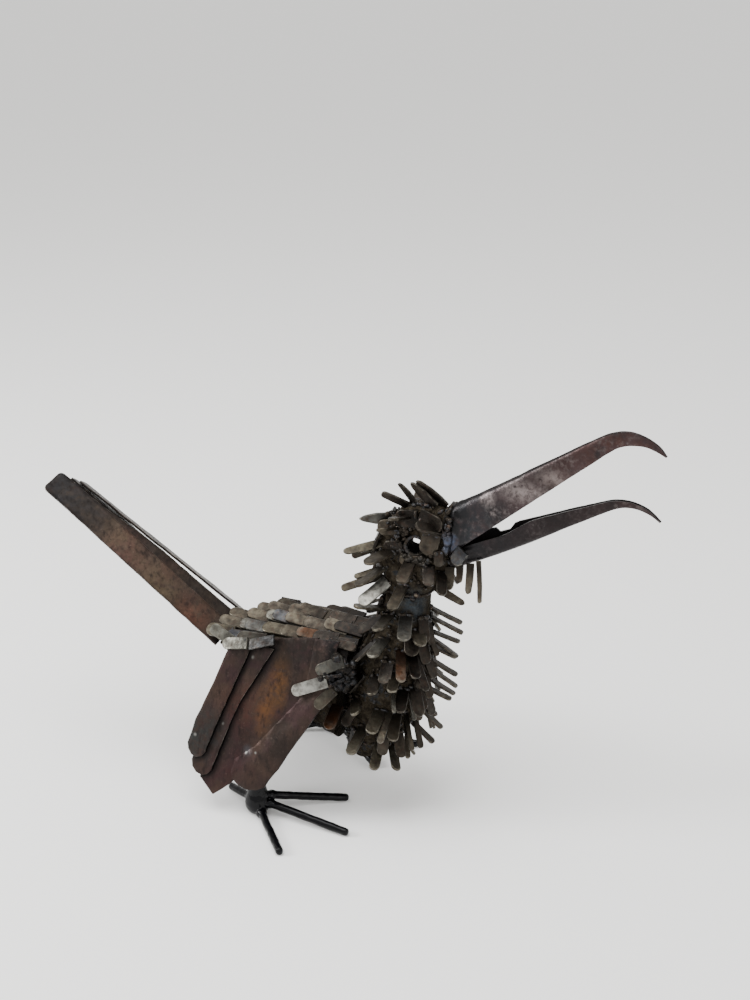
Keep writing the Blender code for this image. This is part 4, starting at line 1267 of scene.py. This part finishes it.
# %% Listed feathers, and their mirrors
# those behind TUCKED_FROM degrees have plain mirrors, and the others' hang more steeply
TUCKED, TUCKED_FROM = 34.0, -76
# a tone above this is one of the paler steels, which are rubbed brighter
PALE_TONE = 0.33
# the step down from one row of hanging feathers to the next
HANGING_STEP = 13.0


def both_sides(rows, section, rub):
    """Feathers listed for the right side, and their mirrors, tucked in near the front."""
    feathers = []
    for height, azimuth, aim, drop, length, width, tone in rows:
        skin = section(height, math.radians(azimuth))
        shine = rub if tone > PALE_TONE else 0.5 * rub
        steeper = drop + TUCKED if azimuth > TUCKED_FROM else drop
        feathers.append(on_shell(skin, azimuth, aim, drop, length, width, tone=tone, rub=shine))
        other = on_shell(skin, azimuth, aim, steeper, length, width, tone=tone, rub=shine)
        feathers.append(other.mirrored())
    return feathers


def crowded(feather, others, room):
    """Whether the middle of a feather is too near the middle of another."""
    middle = feather.root + feather.along * feather.length / 2
    return any((middle - other.root - other.along * other.length / 2).length < room for other in others)


def hanging_behind(section, top, rows):
    """Dark feathers that hang down the back of the neck or the head, two to a row."""
    dice = random.Random(66)
    feathers = []
    for row in range(rows):
        for azimuth in (166.0, 194.0):
            azimuth += dice.uniform(-5.0, 5.0)
            height = top - HANGING_STEP * row + dice.uniform(-4.0, 4.0)
            skin = section(height, math.radians(azimuth))
            aim, drop = azimuth + dice.uniform(-10.0, 10.0), dice.uniform(64.0, 76.0)
            long, wide, tone = dice.uniform(17.0, 24.0), dice.uniform(7.0, 10.0), dice.uniform(0.0, 0.2)
            feathers.append(on_shell(skin, azimuth, aim, drop, long, wide, tone=tone, rub=0.2))
    return feathers


print("helpers for hand-set feathers ready")

# %% [markdown]
# ### Rows on the breast
#
# Between the listed feathers, rows of plain ones cover the shell. A loop lays them,
# steeper towards the belly, and a little chance turns each its own way. One that would
# crowd a listed feather is left out.

# %% The breast's rows
# heights in millimetres: the top row, the step to the next, and where neck and throat end
BREAST_TOP, BREAST_ROWS, BREAST_STEP = 192.0, 9, 15.0
NECK, THROAT = 168.0, 170.0
# how far round each side the rows reach on the neck and below it, in degrees
NECK_REACH, BREAST_REACH = 172.0, 124.0
FEATHER_PITCH = 20.5
BIB_TOP, BIB_ROWS = 180.0, 6
# how far apart the middles of two feathers have to be, in a row and in the bib
ROW_ROOM, BIB_ROOM = 12.5, 7.0


def breast_rows(by_hand, dice, shade):
    """Rows that fill in between the listed feathers, steeper towards the belly."""
    feathers = []
    for row in range(BREAST_ROWS):
        z = BREAST_TOP - BREAST_STEP * row
        middle, length, width = between(BREAST, z)
        reach = NECK_REACH if z > NECK else BREAST_REACH
        count = max(5, round(math.radians(reach) * (length + width) / FEATHER_PITCH))
        for i in range(count):
            share = (i + (0.75 if row % 2 else 0.25)) / count
            azimuth = -reach + 2 * reach * share + dice.uniform(-4.0, 4.0)
            height = z + dice.uniform(-3.0, 3.0)
            drop = 26.0 + 44.0 * max(0.0, (125.0 - z) / 85.0) + dice.uniform(-9.0, 9.0)
            drop += 20.0 * abs(math.sin(math.radians(azimuth)))
            aim = azimuth * 1.22 + dice.uniform(-8.0, 8.0)
            long = dice.uniform(19.0, 27.0)
            tone = shade.uniform(0.02, 0.28)
            # the front has its own row, and the throat is bare
            if abs(azimuth) < (95.0 if height > THROAT else 30.0):
                continue
            skin = breast_point(height, math.radians(azimuth))
            roll = dice.uniform(-26.0, 26.0)
            feather = on_shell(skin, azimuth, aim, min(80.0, drop), long, roll=roll, tone=tone, rub=0.3)
            if not crowded(feather, by_hand, ROW_ROOM):
                feathers.append(feather)
    return feathers


def bib(by_hand, dice, shade):
    """Dark feathers that hang beside the row down the front."""
    feathers = []
    for row in range(BIB_ROWS):
        for azimuth in (-30.0, -13.0):
            azimuth += dice.uniform(-4.0, 4.0)
            height = BIB_TOP - HANGING_STEP * row + dice.uniform(-4.0, 4.0)
            skin = breast_point(height, math.radians(azimuth))
            drop, long, wide = dice.uniform(56.0, 72.0), dice.uniform(17.0, 25.0), dice.uniform(6.0, 11.0)
            aim, tone = 1.6 * azimuth + dice.uniform(-14.0, 14.0), shade.uniform(0.02, 0.2)
            feather = on_shell(skin, azimuth, aim, drop, long, wide, tone=tone, rub=0.2)
            if not crowded(feather, by_hand, BIB_ROOM):
                feathers.append(feather)
    return feathers


def breast_feathers():
    """All the feathers of the breast and neck."""
    dice, shade = random.Random(64), random.Random(7)
    by_hand = both_sides(BREAST_SIDE_FEATHERS, breast_point, 0.6)
    for height, azimuth, aim, drop, length, width, tone in BREAST_FRONT_FEATHERS:
        skin = breast_point(height, math.radians(azimuth))
        by_hand.append(on_shell(skin, azimuth, aim, drop, length, width, tone=tone, rub=0.4))
    filled = breast_rows(by_hand, dice, shade) + bib(by_hand, dice, shade)
    return filled + by_hand + hanging_behind(breast_point, 195.0, 4)


breast_coat = breast_feathers()
head_coat = both_sides(HEAD_SIDE_FEATHERS, head_point, 0.4) + hanging_behind(head_point, 268.0, 4)
print("feathers for the breast:", len(breast_coat), "and for the head:", len(head_coat))

# %% [markdown]
# ### Courses on the back
#
# The back's feathers lie like roof scales: each course laps the one behind it and hides
# its welds. A course follows the torso's section, so a feather's tilt is worked out from
# two points beside it on the skin.

# %% The back's courses
# tones from the shoulders, which are dark and blued, to the rump, which is worn bright;
# each course runs from the left side to the right one
BACK_TONES = (
    (0.05, 0.05, 0.04, 0.02, 0.00),
    (0.08, 0.14, 0.34, 0.03, 0.00),
    (0.16, 0.22, 0.24, 0.93, 0.06),
    (0.18, 0.24, 0.34, 0.33, 0.20),
    (0.18, 0.22, 0.51, 0.42, 0.30),
    (0.22, 0.24, 0.62, 0.55, 0.44),
    (0.20, 0.24, 0.30, 0.56, 0.50),
    (0.26, 0.28, 0.28, 0.36, 0.42),
)
BACK_START, BACK_STEP = 60.0, 15.6
# how far round the back the outer lanes lie, in degrees, and how much a lane fans out
BACK_SPREAD, BACK_FAN = 54.0, 0.14
BACK_WIDTH = 12.0
BACK_TILT = 0.5


def back_feathers():
    """Courses on the back that lie like roof scales and point to the tail."""
    dice, shade = random.Random(65), random.Random(8)
    feathers = []
    for course, tones in enumerate(BACK_TONES):
        x = BACK_START - BACK_STEP * course
        # the left lane ends short of the tail
        for lane in range(4 if course > 5 else 5):
            share = lane / 2.0 - 1.0
            place = max(x, TORSO[0][0] + 1.0) + dice.uniform(-3.0, 3.0)
            angle = math.radians(90.0 - BACK_SPREAD * share) + dice.uniform(-0.04, 0.04)
            skin = torso_point(place, angle)
            beside = torso_point(place, angle + 0.1) - skin
            behind = torso_point(place - 6.0, angle) - skin
            out = behind.cross(beside).normalized()
            askew = BACK_FAN * share + dice.uniform(-0.10, 0.10)
            along = Vector((-1.0, askew, 0.03 - 0.08 * abs(share))) + out * 0.05
            long = dice.uniform(22.0, 29.0)
            root = skin + out * dice.uniform(1.0, 2.6) - along.normalized()
            # they are all tipped a little towards the right, as they were laid from there
            face = out - Vector((0.0, BACK_TILT + dice.uniform(-0.15, 0.15), 0.0))
            tone = tones[4 - lane] + shade.uniform(-0.03, 0.03)
            wide = BACK_WIDTH + dice.uniform(-2.0, 1.0)
            shine = 0.5 if tone > 0.2 else 0.1
            feathers.append(Feather(root, along, face, long, wide, tone=tone, rub=shine))
    return feathers


back_coat = back_feathers()
print("feathers for the back:", len(back_coat))

# %% [markdown]
# ### Plates and tabs
#
# Some offcuts lie flat on the shells, where the rows leave them bare. Those at the rump are
# the palest, and they are on the right side only.

# %% Plates and tabs that lie against the body
# root, heading, drop, length, width, lean of the face, and tone; only those ahead of
# MIRRORED_FROM are on the left side too
MIRRORED_FROM = 50.0
HEAD_PLATES = (
    ((121.0, -10.6, 271.0), 180, 4, 20, 15.0, 0.10, 0.04),
    ((122.0, -10.9, 274.5), -2, 16, 22, 14.0, 0.12, 0.10),
    ((104.5, -9.6, 262.0), 178, 14, 20, 14.0, 0.05, 0.24),
    ((134.0, -10.4, 262.0), 190, 76, 21, 16.0, 0.00, 0.21),
    ((108.0, -10.4, 244.0), 184, 8, 17, 12.0, -0.10, 0.08),
    ((127.0, -12.0, 236.0), 176, 8, 22, 9.0, -0.10, 0.30),
    ((140.0, -11.6, 247.0), -60, 62, 13, 9.0, 0.00, 0.12),
)
BODY_TABS = (
    ((64.0, -52.5, 123.0), -142, 42, 22, 10.0, 0.40, 0.42),
    ((60.0, -37.0, 99.0), -92, 34, 24, 11.0, 0.50, 0.95),
    ((48.0, -30.0, 154.0), -8, -2, 28, 8.5, 1.50, 0.12),
    ((5.0, -46.0, 154.0), 183, 20, 28, 9.0, 0.70, 0.52),
    ((-19.5, -48.5, 147.0), 183, 10, 25, 10.5, 0.75, 0.66),
    ((-33.0, -45.0, 142.0), 180, -25, 27, 10.0, 0.85, 0.66),
)


def tabs(rows, rub):
    """Turn rows of plates and tabs into feathers."""
    feathers = []
    for root, aim, drop, length, width, lean, tone in rows:
        face = Vector((0.0, -1.0, lean))
        feather = Feather(root, heading(aim, drop), face, length, width, tone=tone, rub=rub)
        feathers.append(feather)
        if root[0] > MIRRORED_FROM:
            feathers.append(feather.mirrored())
    return feathers


head_plates, body_tabs = tabs(HEAD_PLATES, 0.2), tabs(BODY_TABS, 0.4)
print("plates:", len(head_plates), "and tabs:", len(body_tabs))

# %% [markdown]
# ### Laying the coats
#
# A feather that would cut through a strip of the wing, the tail or the beak is left out.
# All that are left of one shell become one piece, because they are welded together.

# %% Lay the coats
keep_clear = [surface_of(strip) for strip in wing_strips + tail_strips + [upper_beak, lower_beak]]


def clear_of_sheet(feathers):
    """The feathers that run into no strip of wing, tail or beak."""
    kept = []
    for feather in feathers:
        tree = BVHTree.FromPolygons(feather.points(random.Random(1)), BAR_FACES)
        if not any(tree.overlap(other) for other in keep_clear):
            kept.append(feather)
    return kept


coats = {
    "torso": clear_of_sheet(back_coat) + body_tabs,
    "breast": clear_of_sheet(breast_coat),
    "head": clear_of_sheet(head_coat) + head_plates,
}
for place, feathers in coats.items():
    piece = coat(place + "_feathers", feathers, seed=len(place))
    dress(piece, FLAT_BAR, "feather_steel", place)
    print(place, "carries", len(feathers), "feathers")

# %% Lay the free feathers
FACING_SIDE, FACING_UP = Vector((-0.2, -0.9, 0.0)), Vector((0.0, -0.8, 0.6))
ON_WING = Vector((0.0, -math.cos(WING_LEAN), math.sin(WING_LEAN)))
GROUPS = (("crest", FACING_SIDE, CREST), ("nape", FACING_UP, NAPE), ("beard", FACING_UP, BEARD))
free = {}
for group, face, rows in GROUPS:
    for number, (root, aim, drop, length, width, bend, taper, tone) in enumerate(rows, 1):
        name = "%s_feather_%d" % (group, number)
        run = heading(aim, drop)
        free[name] = Feather(root, run, face, length, width, bend, tone, rub=0.6, taper=taper)
for number, (root, aim, drop, length, width, tone) in enumerate(SHOULDER, 1):
    feather = Feather(root, heading(aim, drop), ON_WING, length, width, tone=tone)
    free["shoulder_right_feather_%d" % number] = feather
    free["shoulder_left_feather_%d" % number] = feather.mirrored()
for seed, (name, feather) in enumerate(free.items()):
    dress(coat(name + "_bar", [feather], seed), FLAT_BAR, "feather_steel", name)
print("free feathers:", len(free))

# %% Dress the shells
for shell, name in ((torso, "torso"), (breast, "breast"), (head, "head")):
    dress(shell, SOOTY_SHELL, "feather_steel", name)
print("shells dressed")

# %% [markdown]
# ## Weld
#
# Blobs of weld hold the offcuts by their roots, and beads of weld close the joints.
# One blob is a small ball with few faces, because it is repeated hundreds of times. A bead
# is a row of flattened blobs that overlap, which is how a real bead is laid.

# %% Weld blobs and beads
blob = fresh(bpy.ops.mesh.primitive_uv_sphere_add, "blob", segments=8, ring_count=5, radius=1.0)
BLOB_POINTS = [vertex.co.copy() for vertex in blob.data.vertices]
BLOB_FACES = sorted(tuple(face.vertices) for face in blob.data.polygons)
bpy.data.objects.remove(blob, do_unlink=True)


def weld(place, blobs):
    """Make one piece of blobs: each is a centre, an axis, its reach along that and across."""
    dice = random.Random(5)
    points, faces = [], []
    for centre, axis, reach, wide in blobs:
        turn = axis.to_track_quat("X", "Z").to_matrix()
        start = len(points)
        for point in BLOB_POINTS:
            lump = 1.0 + dice.uniform(-0.12, 0.12)
            local = Vector((point.x * reach, point.y * wide, point.z * wide)) * lump
            points.append(placed(centre + turn @ local))
        faces += [tuple(start + corner for corner in face) for face in BLOB_FACES]
    piece = smooth(mesh_piece(place + "_weld", points, faces), 80.0)
    return dress(piece, WELD_METAL, "feather_steel", place)


def bead(path, wide, dice, step=0.55):
    """Blobs along a path, each a little flatter along it than across."""
    blobs = []
    for first, second in zip(path, path[1:]):
        run = (second - first).length
        count = max(1, round(run / (wide * step)))
        for i in range(count):
            spot = first.lerp(second, (i + dice.uniform(0.3, 0.7)) / count)
            long, across = wide * dice.uniform(0.6, 0.9), wide * dice.uniform(0.8, 1.2)
            blobs.append((spot, second - first, long, across))
    return blobs


def off_bore(spot, spare):
    """Whether a place in millimetres is clear of the eye's bore."""
    away = spot - EYE
    return (away - EYE_AXIS * away.dot(EYE_AXIS)).length > EYE_RADIUS + spare


def heap(centre, reach, wide, count, dice):
    """Blobs of spatter heaped round a point, thinner towards the edge of its reach."""
    blobs = []
    for _ in range(count):
        away = Vector([half * max(-1.0, min(1.0, dice.gauss(0.0, 0.5))) for half in reach])
        axis = Vector([dice.uniform(-1.0, 1.0) for _ in range(3)])
        long, across = wide * dice.uniform(0.7, 1.5), wide * dice.uniform(0.6, 1.1)
        spot = Vector(centre) + away
        if off_bore(spot, wide):
            blobs.append((spot, axis, long, across))
    return blobs


def spatter(section, heights, azimuths, count, wide, dice):
    """Blobs strewn over a shell's skin, between two heights and two azimuths."""
    blobs = []
    for _ in range(count):
        skin = section(dice.uniform(*heights), math.radians(dice.uniform(*azimuths)))
        axis = Vector([dice.uniform(-1.0, 1.0) for _ in range(3)])
        long, across = wide * dice.uniform(0.7, 2.4), wide * dice.uniform(0.5, 1.1)
        if off_bore(skin, wide):
            blobs.append((skin, axis, long, across))
    return blobs


def ring_of(section, position, points=36):
    """Points of a shell's section, as a path."""
    return [section(position, 2 * math.pi * i / points) for i in range(points + 1)]


print("one blob has", len(BLOB_FACES), "faces")

# %% What is welded where
# runs of bead on the right shoulder, which hold its two feathers; the left has their mirrors
ROPES = (
    ((52.0, -53.0, 131.0), (70.0, -50.0, 137.0)),
    ((58.0, -54.0, 124.0), (72.0, -49.0, 133.0)),
    ((66.0, -47.0, 148.0), (76.0, -42.0, 141.0)),
    ((60.0, -48.0, 141.0), (74.0, -46.0, 145.0)),
)
# heaps are a centre, a reach, a blob's size and a count
CROWN_HEAPS = (
    ((147.0, 0.0, 281.0), (7.0, 5.0, 3.0), 2.8, 14),
    ((126.0, 0.0, 279.0), (13.0, 9.0, 3.0), 2.6, 40),
    ((154.0, 0.0, 286.0), (3.0, 2.0, 1.5), 2.6, 4),
)
# the rim of the eye lies this far out along the bore's axis, and this far off its wall
EYE_RIM_OUT, EYE_RIM_GAP, EYE_RIM_STEPS = 10.8, 1.5, 24


def root_blobs(feathers, size, dice):
    """Two blobs at the root of each feather."""
    blobs = []
    for feather in feathers:
        across = feather.along.cross(feather.face)
        root = feather.root + feather.along * (ROOT_DEPTH - 0.3)
        for side in (-0.28, 0.28):
            spot = root + across * side * feather.width + feather.face * dice.uniform(-0.6, 1.1) * size
            reach = feather.width * dice.uniform(0.22, 0.36) * size
            blobs.append((spot, across, reach, dice.uniform(1.5, 2.4) * size))
    return blobs


def eye_rim(side, dice):
    """A ring of bead round one end of the eye's bore."""
    far = EYE + EYE_AXIS * side * EYE_RIM_OUT
    turn = EYE_AXIS.to_track_quat("Z", "Y").to_matrix()
    rim = []
    for i in range(EYE_RIM_STEPS + 1):
        angle = 2 * math.pi * i / EYE_RIM_STEPS
        spoke = turn @ Vector((math.cos(angle), math.sin(angle), 0.0))
        rim.append(far + spoke * (EYE_RADIUS + EYE_RIM_GAP))
    return bead(rim, 1.5, dice)


def cheek_weld(side, dice):
    """Weld on one side of the head, with two big blobs at the beak's root."""
    blobs = heap((146.0, side * 9.4, 264.0), (3.0, 1.0, 18.0), 2.2, 30, dice)
    blobs.append((Vector((147.0, side * 9.6, 256.5)), Vector((0.1, 0.0, 1.0)), 7.0, 4.0))
    blobs.append((Vector((145.5, side * 9.6, 248.0)), Vector((0.3, 0.0, 1.0)), 5.5, 3.6))
    blobs += heap((104.0, side * 9.5, 262.0), (12.0, 2.0, 10.0), 2.6, 40, dice)
    blobs += heap((119.0, side * 12.0, 237.0), (17.0, 1.5, 4.0), 2.2, 34, dice)
    blobs += heap((101.0, side * 10.0, 248.0), (8.0, 1.5, 6.0), 2.2, 14, dice)
    return blobs + spatter(head_point, (206.0, 276.0), (15.0 * side, 170.0 * side), 80, 1.4, dice)


def head_weld(dice):
    """The seam to the neck, the rims of the eye, the crown and the cheeks."""
    blobs = bead(ring_of(head_point, HEAD[0][0] + 0.5), 1.4, dice)
    for side in (-1.0, 1.0):
        blobs += eye_rim(side, dice)
    for crown in CROWN_HEAPS:
        blobs += heap(*crown, dice)
    for side in (-1.0, 1.0):
        blobs += cheek_weld(side, dice)
    return blobs


def breast_weld(dice):
    """A heap at the neck's top, and spatter on both sides."""
    blobs = heap((108.0, 0.0, 203.0), (14.0, 15.0, 5.0), 3.0, 60, dice)
    for side in (-1.0, 1.0):
        blobs += spatter(breast_point, (52.0, 188.0), (0.0, 165.0 * side), 180, 1.5, dice)
    return blobs


def torso_weld(dice):
    """Heaps and runs of bead on the shoulders."""
    blobs = []
    for side in (-1.0, 1.0):
        blobs += heap((66.0, side * 42.0, 134.0), (9.0, 4.0, 14.0), 4.6, 70, dice)
        blobs += heap((58.0, side * 50.0, 131.0), (6.0, 3.0, 4.0), 3.2, 16, dice)
        flip = Vector((1.0, -side, 1.0))
        for start, end in ROPES:
            blobs += bead([Vector(start) * flip, Vector(end) * flip], 1.9, dice, 0.3)
    return blobs


print("runs of bead on each shoulder:", len(ROPES))

# %% Lay the weld
# the back's blobs are hidden under the next course, and small
WELDED = (("torso", 0.6, torso_weld), ("breast", 1.0, breast_weld), ("head", 1.0, head_weld))
dice = random.Random(11)
for place, size, more in WELDED:
    blobs = root_blobs(coats[place], size, dice) + more(dice)
    weld(place, blobs)
    print("blobs of weld on the", place + ":", len(blobs))

# %% [markdown]
# ## Feet and legs
#
# A foot is a lump of weld round the end of the leg's bar, with four toes of quarter-inch
# round bar stuck into it. Thick black paint runs over all the joints and rounds them.
# Ball, toes and collars are made apart, then a Remesh modifier fuses them into one skin,
# and a Smooth modifier softens it, as the paint does.

# %% One painted foot
BALL_SPREAD = 75.0
TOE_BAR, TOE_ROUNDING = 6.4, 2.2
# toe: azimuth from straight ahead (outwards is positive), reach, and height of its root
TOES = {
    "inner": (-35.0, 80.0, 16.0),
    "middle": (2.0, 88.0, 12.0),
    "outer": (47.0, 71.0, 5.0),
    "hind": (-152.0, 44.0, 9.0),
}
# a collar of weld sits round each toe, this far from the toe's root
COLLAR_PLACE, COLLAR_WIDE, COLLAR_HIGH = 9.0, 4.8, 4.4
# how far from the ball's middle a toe starts, and what it leaves for paint at its end and below
TOE_START, END_ROOM, ROOM_BELOW = 3.0, 0.2, 0.1
SKIN_GRAIN, PAINT_THICK = 0.8, 0.35
# half profile of a foot's ball: half width and height, from the ground up
BALL_PROFILE = (
    (0.0, 0.0), (5.2, 0.0), (8.6, 2.2), (10.6, 6.0), (11.0, 10.5), (10.2, 15.0),
    (8.4, 19.5), (7.0, 25.0), (6.6, 29.0), (0.0, 29.0),
)


def rod(name, start, end, radius, tip=0.0, sides=20):
    """A round bar between two points in millimetres, whose far end may be rounded."""
    along = end - start
    item = fresh(
        bpy.ops.mesh.primitive_cylinder_add,
        name,
        vertices=sides,
        radius=radius * MM,
        depth=along.length * MM,
        location=placed((start + end) / 2),
        rotation=along.to_track_quat("Z", "Y").to_euler(),
    )
    if tip:
        top = max(item.data.polygons, key=lambda face: (len(face.vertices) > 4, face.center.z))
        bpy.ops.object.mode_set(mode="EDIT")
        bpy.ops.mesh.select_mode(type="FACE")
        bpy.ops.mesh.select_all(action="DESELECT")
        cap = bmesh.from_edit_mesh(item.data)
        cap.faces.ensure_lookup_table()
        cap.faces[top.index].select_set(True)
        bmesh.update_edit_mesh(item.data)
        bpy.ops.mesh.bevel(offset=tip * MM, segments=4, affect="EDGES")
        bpy.ops.object.mode_set(mode="OBJECT")
    return settle(item)


def painted_foot(side_name, side):
    """Ball, toes and collars in one skin."""
    centre = Vector((0.0, side * BALL_SPREAD, 0.0))
    profile = mesh_piece("ball", [Vector((wide, 0.0, height)) * MM for wide, height in BALL_PROFILE], [])
    pick(profile)
    bpy.ops.object.mode_set(mode="EDIT")
    shape = bmesh.from_edit_mesh(profile.data)
    shape.verts.ensure_lookup_table()
    for first, second in zip(list(shape.verts), list(shape.verts)[1:]):
        shape.edges.new((first, second))
    bmesh.update_edit_mesh(profile.data)
    bpy.ops.mesh.select_all(action="SELECT")
    bpy.ops.mesh.spin(steps=24, angle=2 * math.pi, center=(0, 0, 0), axis=(0, 0, 1))
    bpy.ops.object.mode_set(mode="OBJECT")
    profile.location = placed(centre)
    parts = [outwards(settle(profile))]
    nodes = ["foot_%s_ball" % side_name]
    for toe, (angle, reach, root_height) in TOES.items():
        along = heading(side * angle, 0.0)
        root = centre + along * TOE_START + Vector((0.0, 0.0, root_height))
        tip = centre + along * (reach - END_ROOM) + Vector((0.0, 0.0, TOE_BAR / 2 + ROOM_BELOW))
        parts.append(rod("toe", root, tip, TOE_BAR / 2, tip=TOE_ROUNDING))
        lump = fresh(
            bpy.ops.mesh.primitive_uv_sphere_add,
            "collar",
            segments=16,
            ring_count=10,
            radius=1.0,
            location=placed(root + (tip - root).normalized() * COLLAR_PLACE),
            scale=(COLLAR_WIDE * MM, COLLAR_WIDE * MM, COLLAR_HIGH * MM),
        )
        parts.append(settle(lump))
        nodes.append("foot_%s_toe_%s" % (side_name, toe))
    foot = joined("foot_%s_painted" % side_name, parts)
    modify(foot, "REMESH", mode="VOXEL", voxel_size=SKIN_GRAIN * MM)
    modify(foot, "SMOOTH", factor=0.5, iterations=6)
    for vertex in foot.data.vertices:
        vertex.co += vertex.normal * MM * PAINT_THICK * (1.0 + ripple(vertex.co, 7.0, side))
        vertex.co.z = max(vertex.co.z, cad_low.z)
    return dress(smooth(foot, 60.0), ENAMEL, "black_painted_bar", *nodes)


for side_name, side in (("right", -1), ("left", 1)):
    foot = painted_foot(side_name, side)
    print(foot.name, len(foot.data.polygons), "faces")

# %% The legs
LEG_RADIUS = 5.4
LEG_FOOT_HEIGHT = 26.0
LEG_TOP = (8.0, 22.0, 104.0)
for side_name, side in (("right", -1), ("left", 1)):
    start = Vector((0.0, side * BALL_SPREAD, LEG_FOOT_HEIGHT))
    end = Vector((LEG_TOP[0], side * LEG_TOP[1], LEG_TOP[2]))
    leg = rod("leg_%s_bar" % side_name, start, end, LEG_RADIUS)
    dress(smooth(leg, 50.0), ENAMEL, "black_painted_bar", "leg_" + side_name)
print("legs placed")

# %% [markdown]
# ## The size
#
# The dressed bird has the CAD model's size: the hammering takes it less than a tenth of a
# millimetre past that box. The CAD model's box is written down.

# %% Write the CAD box
print("CAD box in mm:", [round(value / MM, 1) for value in cad_high - cad_low])
